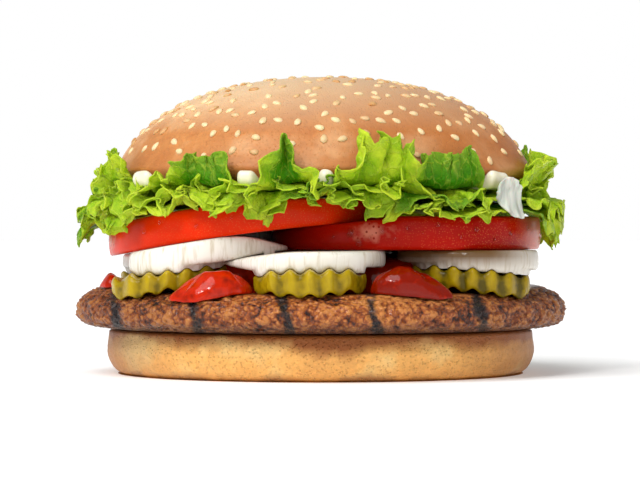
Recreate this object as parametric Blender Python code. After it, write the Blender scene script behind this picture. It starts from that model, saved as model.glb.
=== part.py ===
"""Hamburger with a sesame crown, leaf lettuce, tomato, onion, pickles, ketchup and a grilled patty.

Units are metres, +Z is up, and the front of the burger faces -Y. The origin is the centre of the
heel's flat base. Sizes below are in millimetres and are scaled by MM where geometry is made.
Directions round the burger are bearings in degrees: 0 is the front, 90 is +X, 180 is the back.
"""

import math
import random

import bpy
import bmesh
from mathutils import Matrix, Vector, noise

MM = 0.001

# Clearance kept between neighbouring pieces
GAP = 0.3

# Heel, the bottom half of the bun
HEEL_RADIUS = 57.4
HEEL_HEIGHT = 11.9
HEEL_EDGE_RUN = 5.0
HEEL_EDGE_RISE = 7.0

# Patty: a full round rim, flat where the toppings lie, a little higher at its two sides
PATTY_RADIUS = 65.8
PATTY_BOTTOM = 12.2
PATTY_TOP = 22.0
PATTY_RIM_RUN = 9.8
PATTY_SIDE_RISE = 1.6
PATTY_CRAG = 0.7

# Crinkle cut pickles
PICKLE_WAVE = 0.65
PICKLE_PITCH = 4.9
PICKLE_TAPER = 0.27

# Tomato slices: the left one leans on the right one
TOMATO_THICKNESS = 8.0
TOMATO_RIGHT_BOTTOM = 33.3
TOMATO_RIGHT_TOP = 41.7
TOMATO_LEFT_CAP = 46.2
TOMATO_HALF_DEPTH = 44.5

# Lettuce: three leaves that run through the burger
LEAF_THICKNESS = 0.5
LEAF_COLUMNS = 60
LEAF_CAP_RADIUS = 28.0
LEAF_ROWS = 4
LEAF_REACH_LIMIT = 65.2

# Crown, the top half of the bun
CROWN_RADIUS = 55.8
CROWN_UNDERSIDE = 50.3
CROWN_WAIST = 54.0
CROWN_TOP = 79.0
CROWN_FLANK = 3.0
CROWN_EDGE_RUN = 5.8
CROWN_OFFSET_X = 0.7

# Mayonnaise under the crown
MAYO_BOTTOM = 49.05
MAYO_RADIUS = 49.0
MAYO_LOBE_REACH = 57.2

# Sesame seeds: length, width and height, and how far apart the larger ones lie
SEED_LENGTH = 3.1
SEED_WIDTH = 2.0
SEED_HEIGHT = 1.1
SEED_COUNT = 126
SEED_SPACING = 5.6

# One colour, roughness pair for each material
LOOKS = {
    "toasted_bun_crust": ((0.80, 0.42, 0.17), 0.5),
    "grilled_beef": ((0.20, 0.075, 0.03), 0.55),
    "pickle_flesh": ((0.36, 0.30, 0.02), 0.3),
    "ketchup_sauce": ((0.50, 0.02, 0.005), 0.2),
    "raw_onion": ((0.84, 0.80, 0.74), 0.35),
    "ripe_tomato": ((0.56, 0.03, 0.01), 0.3),
    "leaf_lettuce": ((0.22, 0.42, 0.03), 0.45),
    "mayonnaise_cream": ((0.88, 0.85, 0.74), 0.3),
}


def clear_scene():
    """Remove every object, so that the file holds only the burger."""
    for item in list(bpy.data.objects):
        bpy.data.objects.remove(item, do_unlink=True)


def material(name):
    """Principled material with the colour and roughness of the named food."""
    made = bpy.data.materials.get(name)
    if made:
        return made
    colour, roughness = LOOKS[name]
    made = bpy.data.materials.new(name)
    made.use_nodes = True
    shader = made.node_tree.nodes["Principled BSDF"]
    shader.inputs["Base Color"].default_value = (*colour, 1.0)
    shader.inputs["Roughness"].default_value = roughness
    return made


def finish_object(name, shape, look, smooth=True):
    """Turn a bmesh in millimetres into an object of its own material."""
    bmesh.ops.scale(shape, vec=Vector((MM, MM, MM)), verts=shape.verts)
    bmesh.ops.recalc_face_normals(shape, faces=shape.faces)
    mesh = bpy.data.meshes.new(name)
    shape.to_mesh(mesh)
    shape.free()
    mesh.materials.append(material(look))
    if smooth:
        mesh.shade_smooth()
        mesh.set_sharp_from_angle(angle=math.radians(50))
    made = bpy.data.objects.new(name, mesh)
    bpy.context.scene.collection.objects.link(made)
    return made


def smoothstep(low, high, value):
    """Ease from 0 at low to 1 at high."""
    share = min(max((value - low) / (high - low), 0.0), 1.0)
    return share * share * (3.0 - 2.0 * share)


def mix(first, second, share):
    """Blend two values."""
    return first + (second - first) * share


def along(stations, value):
    """Read a smooth curve through a few (place, height) stations."""
    if value <= stations[0][0]:
        return stations[0][1]
    for (low, start), (high, end) in zip(stations, stations[1:]):
        if value <= high:
            return mix(start, end, (value - low) / (high - low))
    return stations[-1][1]


def bearing_gap(first, second):
    """Signed difference of two bearings, in degrees, from -180 to 180."""
    return (first - second + 180.0) % 360.0 - 180.0


def bump(bearing, centre, half_width):
    """A round topped bump on the bearing circle, 1 at its centre."""
    return math.exp(-(bearing_gap(bearing, centre) / half_width) ** 4)


def at_bearing(bearing, radius, height):
    """The point at a bearing and a radius from the burger's axis."""
    turn = math.radians(bearing)
    return Vector((radius * math.sin(turn), -radius * math.cos(turn), height))


def wobble(bearing, scale, seed):
    """Slow irregular variation round a circle, from about -1 to 1."""
    turn = math.radians(bearing)
    return noise.noise(Vector((math.cos(turn) * scale, math.sin(turn) * scale, seed * 7.3)))


def wrapped(name, columns, path, place, look):
    """Reshape a UV sphere: ring i of the sphere goes to path[i] = (reach, level).

    reach is the share of the outline's radius and level the share of the height, from 0 below
    to 1 above. place turns a bearing, a reach and a level into a point.
    """
    shape = bmesh.new()
    steps = len(path) - 1
    bmesh.ops.create_uvsphere(shape, u_segments=columns, v_segments=steps, radius=1.0)
    for vert in shape.verts:
        ring = round(math.acos(max(-1.0, min(1.0, vert.co.z))) / math.pi * steps)
        bearing = math.degrees(math.atan2(vert.co.x, -vert.co.y))
        vert.co = place(bearing, *path[ring])
    return finish_object(name, shape, look)


# Bun

def heel_place(bearing, reach, level):
    """Heel: flat base, rounded lower edge, sides that draw in a little to the top."""
    radius = HEEL_RADIUS + 0.5 * wobble(bearing, 1.3, 1)
    height = HEEL_HEIGHT * level
    drawn_in = 0.0
    if reach >= 0.99:
        rise = min(height / HEEL_EDGE_RISE, 1.0)
        drawn_in = HEEL_EDGE_RUN * (1.0 - math.sqrt(1.0 - (1.0 - rise) ** 2))
        drawn_in += 0.7 * max(height - HEEL_EDGE_RISE, 0.0) / (HEEL_HEIGHT - HEEL_EDGE_RISE)
    return at_bearing(bearing, (radius - drawn_in) * reach, height)


def build_heel():
    """Bottom half of the bun."""
    path = [(0.0, 1.0), (0.97, 1.0), (1.0, 0.94), (1.0, 0.58), (1.0, 0.3), (1.0, 0.12), (1.0, 0.03)]
    path += [(0.9, 0.0), (0.0, 0.0)]
    wrapped("bottom_bun", 44, path, heel_place, "toasted_bun_crust")


def crown_radius(level):
    """Radius of the dome's skin at a share of its height above the waist."""
    round_part = CROWN_RADIUS * math.sqrt(max(1.0 - level * level, 0.0))
    return round_part - CROWN_FLANK * 4.0 * level * (1.0 - level) ** 1.5


def crown_under(radius):
    """Height of the crown's underside and turned in lower edge."""
    start = CROWN_RADIUS - CROWN_EDGE_RUN
    share = min(max((radius - start) / CROWN_EDGE_RUN, 0.0), 1.0)
    drop = CROWN_WAIST - CROWN_UNDERSIDE
    return CROWN_WAIST - drop * math.sqrt(1.0 - share * share)


def crown_skin(bearing, level):
    """Point of the dome's skin; level runs from 0 at the waist to 1 at the top."""
    radius = crown_radius(level) * (1.0 + 0.008 * wobble(bearing, 1.1, 3))
    height = CROWN_WAIST + (CROWN_TOP - CROWN_WAIST) * level
    return at_bearing(bearing, radius, height) + Vector((CROWN_OFFSET_X, 0.0, 0.0))


def crown_place(bearing, reach, level):
    """Crown: levels above 0 lie on the dome, levels below 0 on the underside at that reach."""
    if level > 0.0:
        return crown_skin(bearing, level)
    radius = CROWN_RADIUS * (reach + 0.008 * reach * wobble(bearing, 1.1, 3))
    return at_bearing(bearing, radius, crown_under(CROWN_RADIUS * reach)) + Vector((CROWN_OFFSET_X, 0.0, 0.0))


def seed_places(count, spacing):
    """Places on the dome for the seeds: dense on top, thinning towards the rim."""
    draw = random.Random(41)
    places = []
    tries = 0
    while len(places) < count and tries < 60000:
        tries += 1
        level = draw.uniform(0.06, 0.999)
        bearing = draw.uniform(-180.0, 180.0)
        keep = smoothstep(0.0, 0.55, level)
        area = crown_radius(level) / CROWN_RADIUS + 0.25 * level
        chance = draw.random()
        turn = draw.uniform(0.0, math.tau)
        if chance > area * (0.22 + 0.78 * keep):
            continue
        point = crown_skin(bearing, level)
        near = spacing * (1.0 + 0.8 * (1.0 - keep))
        if any((point - other[0]).length < near for other in places):
            continue
        around = crown_skin(bearing + 1.0, level) - point
        upward = crown_skin(bearing, min(level + 0.004, 1.0)) - point
        normal = around.cross(upward).normalized()
        places.append((point, normal, turn))
    return places


def seed_shape(name, point, normal, turn):
    """A flattened teardrop, half sunk in the skin."""
    shape = bmesh.new()
    bmesh.ops.create_uvsphere(shape, u_segments=6, v_segments=3, radius=0.5)
    for vert in shape.verts:
        taper = 1.0 - 0.55 * vert.co.x
        vert.co = Vector((vert.co.x * SEED_LENGTH, vert.co.y * SEED_WIDTH * taper, vert.co.z * SEED_HEIGHT))
    tilt = normal.to_track_quat("Z", "Y").to_matrix().to_4x4()
    placing = Matrix.Translation(point) @ tilt @ Matrix.Rotation(turn, 4, "Z")
    bmesh.ops.transform(shape, matrix=placing, verts=shape.verts)
    return finish_object(name, shape, "toasted_bun_crust")


def build_crown():
    """Top half of the bun with its sesame seeds fused on."""
    path = [(0.0, 1.0), (0.0, 0.985), (0.0, 0.93), (0.0, 0.82), (0.0, 0.66), (0.0, 0.48), (0.0, 0.3), (0.0, 0.13)]
    path += [(1.0, 0.0), (0.985, 0.0), (0.94, 0.0), (0.895, 0.0), (0.0, 0.0)]
    crown = wrapped("top_bun", 48, path, crown_place, "toasted_bun_crust")
    seeds = bpy.data.collections.new("sesame")
    bpy.context.scene.collection.children.link(seeds)
    for number, place in enumerate(seed_places(SEED_COUNT, SEED_SPACING)):
        seed = seed_shape(f"seed_{number:03d}", *place)
        bpy.context.scene.collection.objects.unlink(seed)
        seeds.objects.link(seed)
    union = crown.modifiers.new("sesame", "BOOLEAN")
    union.operation = "UNION"
    union.operand_type = "COLLECTION"
    union.collection = seeds
    union.solver = "EXACT"
    apply_modifiers(crown)
    for seed in list(seeds.objects):
        bpy.data.objects.remove(seed, do_unlink=True)
    bpy.data.collections.remove(seeds)


def apply_modifiers(item):
    """Bake the object's modifiers into its mesh."""
    graph = bpy.context.evaluated_depsgraph_get()
    baked = bpy.data.meshes.new_from_object(item.evaluated_get(graph))
    item.modifiers.clear()
    item.data = baked


# Patty

def patty_height(bearing, radius):
    """Height of the patty's upper surface, crags left out."""
    side = max(bump(bearing, 90.0, 22.0), bump(bearing, -90.0, 22.0))
    top = PATTY_TOP + PATTY_SIDE_RISE * side * smoothstep(50.0, 58.0, radius)
    start = PATTY_RADIUS - PATTY_RIM_RUN
    share = min(max((radius - start) / PATTY_RIM_RUN, 0.0), 1.0)
    middle = 0.5 * (PATTY_TOP + PATTY_BOTTOM)
    return middle + (top - middle) * math.sqrt(1.0 - share * share)


def patty_under(x, y):
    """Height of the patty's upper surface at a place."""
    radius = math.hypot(x, y)
    return patty_height(math.degrees(math.atan2(x, -y)), radius)


def patty_place(bearing, reach, level):
    """Patty: round rim with coarse crags of ground beef."""
    radius = PATTY_RADIUS * reach
    middle = 0.5 * (PATTY_TOP + PATTY_BOTTOM)
    upper = patty_height(bearing, radius)
    lower = 2.0 * middle - patty_height(0.0, radius)
    height = upper if level > 0.5 else lower
    if level == 0.5:
        height = middle
    point = at_bearing(bearing, radius, height)
    if reach > 0.9:
        rough = noise.noise(point * 0.16) + 0.5 * noise.noise(point * 0.41)
        point *= 1.0 - PATTY_CRAG / PATTY_RADIUS * abs(rough) * smoothstep(0.9, 1.0, reach)
        point.z = height
    return point


def build_patty():
    """Grilled beef patty."""
    rim = (0.955, 0.985, 0.997)
    path = [(0.0, 1.0), (0.76, 1.0), (0.85, 1.0), (0.91, 1.0)] + [(reach, 1.0) for reach in rim]
    path += [(1.0, 0.5)] + [(reach, 0.0) for reach in reversed(rim)] + [(0.85, 0.0), (0.0, 0.0)]
    wrapped("patty", 54, path, patty_place, "grilled_beef")


# Pickles

def pickle_heights(x, y, centre, lift, thickness):
    """Lower and upper face of a pickle, in phase, lying on the patty."""
    droop = PATTY_TOP - patty_under(x, y)
    across = (x - centre[0]) / centre[2]
    rise = abs(lift) * (0.5 + math.copysign(0.5, lift) * across) ** 2
    wave = PICKLE_WAVE * math.cos(math.tau * (x - centre[0]) / PICKLE_PITCH)
    lower = PATTY_TOP + GAP + PICKLE_WAVE + wave + rise - droop
    return lower, lower + thickness * (1.0 - PICKLE_TAPER * across ** 4) + 0.5 * droop


def build_pickle(name, centre, lift, thickness):
    """Crinkle cut slice: sections across Y, two for each wave along X.

    centre is (x, y, radius); lift raises the right end, or the left end if it is negative.
    """
    shape = bmesh.new()
    stations = 2 * round(2.0 * centre[2] / PICKLE_PITCH) + 1
    previous = None
    first = None
    for number in range(stations):
        share = -1.0 + 2.0 * number / (stations - 1)
        share = max(-0.97, min(0.97, share))
        x = centre[0] + centre[2] * share
        half = centre[2] * math.sqrt(1.0 - share * share)
        outward = math.copysign(half, centre[1])
        places = [centre[1] + outward, centre[1] + 0.45 * outward, centre[1] - outward]
        ring = []
        for y in places:
            ring.append(shape.verts.new((x, y, pickle_heights(x, y, centre, lift, thickness)[1])))
        for y in reversed(places):
            ring.append(shape.verts.new((x, y, pickle_heights(x, y, centre, lift, thickness)[0])))
        if previous:
            for corner in range(6):
                after = (corner + 1) % 6
                shape.faces.new((previous[corner], previous[after], ring[after], ring[corner]))
        first = first or ring
        previous = ring
    shape.faces.new(first)
    shape.faces.new(list(reversed(previous)))
    finish_object(name, shape, "pickle_flesh")


def build_pickles():
    """Three slices along the front and three at the back."""
    build_pickle("pickle_left", (-39.0, -30.0, 15.0), 3.0, 3.6)
    build_pickle("pickle_centre", (-2.8, -48.0, 14.2), 0.5, 4.7)
    build_pickle("pickle_right", (38.5, -29.0, 15.6), -2.0, 4.5)
    build_pickle("pickle_back_left", (-40.0, 22.0, 15.0), 0.4, 4.0)
    build_pickle("pickle_back_centre", (-4.0, 46.0, 14.4), -0.4, 4.2)
    build_pickle("pickle_back_right", (36.0, 30.0, 15.4), 0.4, 4.1)


# Ketchup

def build_ketchup(name, centre, radii, height, lean):
    """Rounded blob on the patty; lean shifts its peak along X by a share of its length."""

    def place(bearing, reach, level):
        turn = math.radians(bearing)
        spread = reach * (1.0 + 0.12 * wobble(bearing, 1.6, height))
        x = centre[0] + radii[0] * spread * math.sin(turn)
        y = centre[1] - radii[1] * spread * math.cos(turn)
        floor = patty_under(x, y) + GAP + 0.25
        if level == 0.0:
            return Vector((x, y, floor))
        peak = centre[0] + lean * radii[0]
        offset = (x - peak) / (radii[0] * (1.0 + abs(lean)))
        rise = height * level * math.exp(-0.9 * offset * offset)
        return Vector((x, y, floor + rise))

    path = [(0.0, 1.0), (0.45, 0.88), (0.8, 0.55), (1.0, 0.2), (0.96, 0.0), (0.5, 0.0), (0.0, 0.0)]
    wrapped(name, 12, path, place, "ketchup_sauce")


def build_ketchups():
    """Blobs that squeeze out between the pickles."""
    build_ketchup("ketchup_left", (-27.6, -50.5), (10.0, 5.6), 5.8, 0.25)
    build_ketchup("ketchup_right", (22.2, -51.6), (10.4, 5.4), 6.6, -0.3)
    build_ketchup("ketchup_side", (-55.0, -13.5), (2.8, 4.5), 4.0, 0.0)
    build_ketchup("ketchup_back_left", (-27.0, 46.0), (8.0, 5.4), 4.6, 0.2)
    build_ketchup("ketchup_back_right", (17.5, 51.5), (6.5, 4.6), 4.2, -0.2)


# Onion

def build_onion(name, centre, lower, upper):
    """Onion slice: centre is (x, y, radius, depth), lower and upper are heights along X."""

    def place(bearing, reach, level):
        turn = math.radians(bearing)
        radius = centre[2] * reach * (1.0 + 0.02 * wobble(bearing, 1.4, centre[0]))
        x = centre[0] + radius * math.sin(turn)
        y = centre[1] - radius * centre[3] * math.cos(turn)
        return Vector((x, y, mix(along(lower, x), along(upper, x), level)))

    path = [(0.0, 1.0), (0.55, 1.0), (0.96, 1.0), (1.0, 0.8), (1.0, 0.2), (0.96, 0.0), (0.55, 0.0), (0.0, 0.0)]
    wrapped(name, 24, path, place, "raw_onion")


def build_onions():
    """Three slices along the front and three at the back; the two left ones lean."""
    build_onion("onion_left", (-29.0, -28.0, 20.6, 0.87),
                ((-50.0, 27.6), (-40.0, 28.3), (-35.0, 28.9), (-30.5, 29.5), (-24.0, 30.2), (-17.0, 31.9), (-8.0, 33.1)),
                ((-50.0, 32.2), (-39.0, 34.2), (-29.0, 35.8), (-22.5, 36.7), (-17.0, 36.3), (-8.0, 33.8)))
    build_onion("onion_centre", (-3.8, -36.5, 20.6, 1.0),
                ((-24.6, 29.3), (-20.0, 28.2), (-15.5, 27.8), (-8.0, 28.5), (3.0, 28.9), (9.0, 28.8), (17.0, 28.6)),
                ((-24.6, 29.9), (-20.5, 31.0), (-17.0, 31.6), (-8.0, 32.7), (17.0, 33.0)))
    build_onion("onion_right", (38.0, -26.0, 18.5, 1.0),
                ((19.0, 30.1), (24.0, 29.6), (33.0, 29.9), (38.0, 29.3), (47.5, 28.6), (57.0, 27.6)),
                ((19.0, 33.0), (57.0, 33.0)))
    build_onion("onion_back_left", (-34.0, 13.0, 20.0, 1.0),
                ((-54.0, 27.7), (-30.0, 28.6), (-14.0, 30.5)),
                ((-54.0, 31.5), (-39.0, 34.2), (-29.0, 35.8), (-22.5, 36.7), (-14.0, 37.7)))
    build_onion("onion_back_centre", (2.0, 34.2, 20.0, 1.0),
                ((-18.0, 28.5), (22.0, 28.4)),
                ((-18.0, 33.0), (22.0, 33.0)))
    build_onion("onion_back_right", (37.5, 13.0, 18.5, 1.0),
                ((18.0, 28.4), (57.0, 28.5)),
                ((18.0, 33.0), (57.0, 33.0)))


# Tomato

TOMATO_LEFT = (-18.1, -2.0, 38.5)
TOMATO_RIGHT = (22.6, -2.0, 36.0)


def tomato_lean(x):
    """Underside of the left slice: it rises from the left end and flattens on the right slice."""
    run = x + 52.0
    rise = 0.1955 * run - 0.001022 * run * run
    return 32.2 + rise + 0.0015 * max(run - 46.0, 0.0) ** 2


def tomato_left_heights(x):
    """Lower and upper face of the left slice."""
    lower = tomato_lean(x)
    return lower, min(lower + TOMATO_THICKNESS, TOMATO_LEFT_CAP)


def tomato_right_heights(x):
    """Lower and upper face of the right slice, pressed down by the left one."""
    return TOMATO_RIGHT_BOTTOM, min(TOMATO_RIGHT_TOP, tomato_lean(x) - GAP)


def tomato_outline(bearing, centre):
    """Distance from a slice's centre to its slightly lobed outline."""
    turn = math.radians(bearing)
    across = math.sin(turn) / centre[2]
    deep = math.cos(turn) / TOMATO_HALF_DEPTH
    return (1.0 + 0.012 * wobble(bearing, 1.5, centre[0])) / math.hypot(across, deep)


def tomato_reach(bearing):
    """Distance from the burger's axis to the outline of the two slices together."""
    turn = math.radians(bearing)
    x_step, y_step = math.sin(turn), -math.cos(turn)
    farthest = 0.0
    for centre in (TOMATO_LEFT, TOMATO_RIGHT):
        a = (x_step / centre[2]) ** 2 + (y_step / TOMATO_HALF_DEPTH) ** 2
        b = -(x_step * centre[0] / centre[2] ** 2 + y_step * centre[1] / TOMATO_HALF_DEPTH ** 2)
        c = (centre[0] / centre[2]) ** 2 + (centre[1] / TOMATO_HALF_DEPTH) ** 2 - 1.0
        farthest = max(farthest, (-b + math.sqrt(b * b - a * c)) / a)
    return farthest


def build_tomato(name, centre, heights):
    """Tomato slice with a slightly bulging skin edge."""

    def place(bearing, reach, level):
        turn = math.radians(bearing)
        radius = tomato_outline(bearing, centre) * reach
        x = centre[0] + radius * math.sin(turn)
        y = centre[1] - radius * math.cos(turn)
        lower, upper = heights(x)
        return Vector((x, y, mix(lower, upper, level)))

    path = [(0.0, 1.0), (0.5, 1.0), (0.975, 1.0), (0.995, 0.9), (1.0, 0.5), (0.995, 0.1), (0.975, 0.0)]
    path += [(0.5, 0.0), (0.0, 0.0)]
    wrapped(name, 34, path, place, "ripe_tomato")


def build_tomatoes():
    """Two slices side by side, the left one lying on the right one's edge."""
    build_tomato("tomato_left", TOMATO_LEFT, tomato_left_heights)
    build_tomato("tomato_right", TOMATO_RIGHT, tomato_right_heights)


# Lettuce

# Each petal is (bearing, half width, turn of the margin in degrees, length of the margin)
UPPER_PETALS = (
    (-67.0, 8.0, 92.0, 11.5),
    (-48.0, 6.0, 80.0, 7.8),
    (-31.0, 8.0, 90.0, 9.0),
    (-12.0, 5.5, 88.0, 13.2),
    (5.5, 4.0, 98.0, 17.5),
    (15.0, 7.0, 97.0, 16.0),
    (29.0, 8.0, 92.0, 11.0),
    (38.5, 5.0, 94.0, 12.5),
    (74.0, 11.0, 70.0, 11.5),
    (103.0, 9.0, 88.0, 11.5),
    (128.0, 10.0, 84.0, 9.5),
    (150.0, 8.0, 94.0, 14.5),
    (172.0, 9.0, 86.0, 10.5),
    (-166.0, 8.0, 96.0, 15.5),
    (-142.0, 11.0, 84.0, 9.5),
    (-117.0, 9.0, 92.0, 12.5),
    (-93.0, 9.0, 74.0, 9.0),
)
LOWER_PETALS = (
    (-88.0, 13.0, -62.0, 13.0),
    (-62.0, 4.0, -88.0, 8.0),
    (-20.0, 14.0, -84.0, 10.0),
    (3.0, 6.0, -76.0, 7.5),
    (19.0, 6.0, -88.0, 10.0),
    (27.0, 4.0, -82.0, 8.0),
    (76.0, 9.0, -66.0, 8.0),
    (103.0, 10.0, -72.0, 11.0),
    (133.0, 9.0, -80.0, 8.0),
    (160.0, 12.0, -86.0, 11.0),
    (-168.0, 7.0, -78.0, 7.5),
    (-146.0, 10.0, -86.0, 10.0),
    (-118.0, 8.0, -70.0, 8.0),
)
# Bearing and half width of the notch in which the pale rib piece stands
RIB_NOTCH = (50.0, 8.5)
LEAF_LIFT = {"lower": 46.8, "middle": 47.6, "upper": 48.4}


def petal_blend(petals, bearing, turn, length):
    """Turn and length of a margin at a bearing, blended from its petals."""
    for centre, half_width, petal_turn, petal_length in petals:
        share = bump(bearing, centre, half_width)
        turn = mix(turn, petal_turn, share)
        length = mix(length, petal_length, share)
    return turn, length


def leaf_margin(leaf, bearing):
    """Fold radius, fold height, turn in degrees, bend length and whole length of a margin."""
    ripple = math.sin(math.radians(bearing * 17.0 + 70.0 * wobble(bearing, 2.0, 5)))
    tomato = tomato_reach(bearing)
    notch = bump(bearing, *RIB_NOTCH)
    skin = tomato_skin_height(bearing)
    hang = max(tomato + 1.4, 47.5)
    if leaf == "upper":
        turn, length = petal_blend(UPPER_PETALS, bearing, -24.0, 8.0)
        fold, height, bend, turn = 53.2, LEAF_LIFT[leaf], 7.0, turn + 4.0 * ripple
    elif leaf == "middle":
        turn = -46.0 + 9.0 * ripple + 6.0 * wobble(bearing, 3.0, 8)
        length = 10.5 + 2.5 * wobble(bearing, 2.5, 6)
        height = min(0.5 * (skin + LEAF_LIFT[leaf]) + 1.1, LEAF_LIFT[leaf])
        fold, bend = max(50.5, hang - 2.0), 9.0
    else:
        turn, length = petal_blend(LOWER_PETALS, bearing, -74.0, 6.0)
        height = min(skin + 0.9, LEAF_LIFT[leaf])
        fold, bend, turn = hang, 4.5, turn + 4.0 * ripple
    return fold, height, math.radians(turn), bend, mix(length, 2.0, notch)


def tomato_skin_height(bearing):
    """Height of the tomatoes' upper edge at a bearing, smoothed where the slices cross."""
    x = tomato_reach(bearing) * math.sin(math.radians(bearing))
    left = tomato_left_heights(min(x, 14.0))[1]
    return mix(left, TOMATO_RIGHT_TOP, smoothstep(10.0, 26.0, x))


def leaf_point(leaf, bearing, share):
    """Point of a leaf's middle surface; share runs from 0 at the fold to 1 at the margin."""
    fold, height, turn, bend, length = leaf_margin(leaf, bearing)
    if abs(turn) < 0.02:
        turn = 0.02
    run = length * share
    curved = min(run, bend)
    angle = turn * curved / bend
    out = bend / turn * math.sin(angle) + (run - curved) * math.cos(angle)
    rise = bend / turn * (1.0 - math.cos(angle)) + (run - curved) * math.sin(angle)
    reach = fold + out
    soft = LEAF_REACH_LIMIT - 2.0
    if reach > soft:
        reach = soft + 2.0 * math.tanh((reach - soft) / 2.0)
    return at_bearing(bearing, reach, height + rise)


def build_leaf(leaf):
    """Thin wavy leaf: a flat middle, a fold round it and a turned margin."""
    shape = bmesh.new()
    bmesh.ops.create_circle(shape, cap_ends=True, segments=LEAF_COLUMNS, radius=LEAF_CAP_RADIUS)
    ring = sorted(shape.verts, key=lambda vert: math.atan2(vert.co.x, -vert.co.y))
    bearings = [math.degrees(math.atan2(vert.co.x, -vert.co.y)) for vert in ring]
    for vert in ring:
        vert.co.z = LEAF_LIFT[leaf]
    for row in range(LEAF_ROWS):
        outer = []
        for bearing in bearings:
            outer.append(shape.verts.new(leaf_point(leaf, bearing, row / (LEAF_ROWS - 1))))
        for column in range(LEAF_COLUMNS):
            after = (column + 1) % LEAF_COLUMNS
            shape.faces.new((ring[column], outer[column], outer[after], ring[after]))
        ring = outer
    bmesh.ops.recalc_face_normals(shape, faces=shape.faces)
    bmesh.ops.triangulate(shape, faces=shape.faces)
    made = finish_object(f"lettuce_{leaf}", shape, "leaf_lettuce")
    thick = made.modifiers.new("thickness", "SOLIDIFY")
    thick.thickness = LEAF_THICKNESS * MM
    thick.offset = 0.0


def build_rib():
    """Pale, curved piece of the lettuce heart that stands in the leaves' notch."""
    path = [(0.0, 1.0), (0.55, 1.0), (0.92, 0.97), (1.0, 0.5), (0.92, 0.03), (0.55, 0.0), (0.0, 0.0)]

    def place(bearing, reach, level):
        turn = math.radians(bearing)
        across = 3.6 * reach * math.sin(turn)
        upright = 4.3 * reach * math.cos(turn)
        outward = 62.3 + 1.1 * (level - 0.5) + 0.05 * upright * upright - 0.03 * across * across
        swing = RIB_NOTCH[0] + math.degrees(across / outward)
        return at_bearing(swing, outward, 46.6 + upright)

    wrapped("lettuce_rib", 12, path, place, "leaf_lettuce")


def build_lettuce():
    """Three leaves and a loose rib piece."""
    for leaf in ("lower", "middle", "upper"):
        build_leaf(leaf)
    build_rib()


# Mayonnaise

# Bearing and half width of each place where it squeezes out
MAYO_LOBES = (
    (-40.0, 7.0),
    (-21.5, 6.0),
    (-3.0, 5.5),
    (52.0, 5.0),
    (89.0, 6.0),
    (115.0, 5.0),
    (139.0, 6.0),
    (-153.0, 6.0),
    (-129.0, 5.0),
    (-105.0, 5.0),
)


def mayo_place(bearing, reach, level):
    """Mayonnaise: a thin layer under the crown that swells out round its edge in lobes."""
    turn = petal_blend(UPPER_PETALS, bearing, 0.0, 0.0)[0]
    lobe = max(bump(bearing, *each) for each in MAYO_LOBES) * (1.0 - smoothstep(3.0, 26.0, turn))
    radius = mix(MAYO_RADIUS, MAYO_LOBE_REACH, lobe) * reach
    ceiling = crown_under(min(radius, CROWN_RADIUS - 0.4) - 2.4) - GAP
    return at_bearing(bearing, radius, mix(MAYO_BOTTOM, ceiling, level))


def build_mayonnaise():
    """Layer of mayonnaise."""
    path = [(0.0, 1.0), (0.85, 1.0), (0.93, 1.0), (0.975, 1.0), (1.0, 0.6), (0.985, 0.1), (0.9, 0.0), (0.0, 0.0)]
    wrapped("mayonnaise", 50, path, mayo_place, "mayonnaise_cream")


def main():
    """Build the burger from the heel up."""
    clear_scene()
    build_heel()
    build_patty()
    build_pickles()
    build_ketchups()
    build_onions()
    build_tomatoes()
    build_lettuce()
    build_mayonnaise()
    build_crown()


main()
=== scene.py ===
"""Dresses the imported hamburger: bun, patty, pickles, ketchup, onion, tomato, lettuce and mayonnaise.

Shapes are worked out in millimetres and scaled to metres when a piece is finished. +Z is up and the
front faces -Y. Directions round the burger are bearings in degrees: 0 is the front, 90 is +X.
"""

import math
import random
from types import SimpleNamespace

import bpy
import bmesh
from mathutils import Matrix, Vector, noise


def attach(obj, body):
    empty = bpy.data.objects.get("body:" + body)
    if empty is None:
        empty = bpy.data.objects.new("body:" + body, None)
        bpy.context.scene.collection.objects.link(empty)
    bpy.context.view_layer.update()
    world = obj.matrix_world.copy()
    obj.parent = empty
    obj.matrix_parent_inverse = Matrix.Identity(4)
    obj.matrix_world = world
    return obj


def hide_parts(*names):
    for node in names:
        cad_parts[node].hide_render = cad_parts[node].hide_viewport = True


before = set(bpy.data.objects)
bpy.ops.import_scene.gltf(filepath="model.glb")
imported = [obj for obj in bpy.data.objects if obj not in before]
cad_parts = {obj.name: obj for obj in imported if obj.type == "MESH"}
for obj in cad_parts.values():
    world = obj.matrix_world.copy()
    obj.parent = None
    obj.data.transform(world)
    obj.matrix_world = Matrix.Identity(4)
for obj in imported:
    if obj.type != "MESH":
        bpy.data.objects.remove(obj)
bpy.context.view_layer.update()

bl_info = {
    "name": "Grilled Hamburger",
    "version": (1, 0, 0),
    "blender": (4, 5, 0),
    "location": "3D View > Sidebar > Burger",
    "description": "Models and shades the food of a packed hamburger part",
    "category": "Add Mesh",
}

MM = 0.001
NOISE_SEED = 5
# Angles in degrees between two faces above which their common edge stays sharp
SHARP_ANGLE = 55.0
ALL_SMOOTH = 180.0


def linear(code):
    """Linear RGB of an sRGB hex colour."""
    made = []
    for start in (0, 2, 4):
        part = int(code[start:start + 2], 16) / 255.0
        made.append(part / 12.92 if part <= 0.04045 else ((part + 0.055) / 1.055) ** 2.4)
    return tuple(made)


def length(name, description, millimetres):
    """Property for a size that a user may change."""
    return bpy.props.FloatProperty(
        name=name, description=description, default=millimetres * MM, min=0.0, subtype="DISTANCE",
        unit="LENGTH")


def shade(name, description, code):
    """Property for a colour that a user may change."""
    return bpy.props.FloatVectorProperty(
        name=name, description=description, default=linear(code), size=3, min=0.0, max=1.0, subtype="COLOR")


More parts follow.
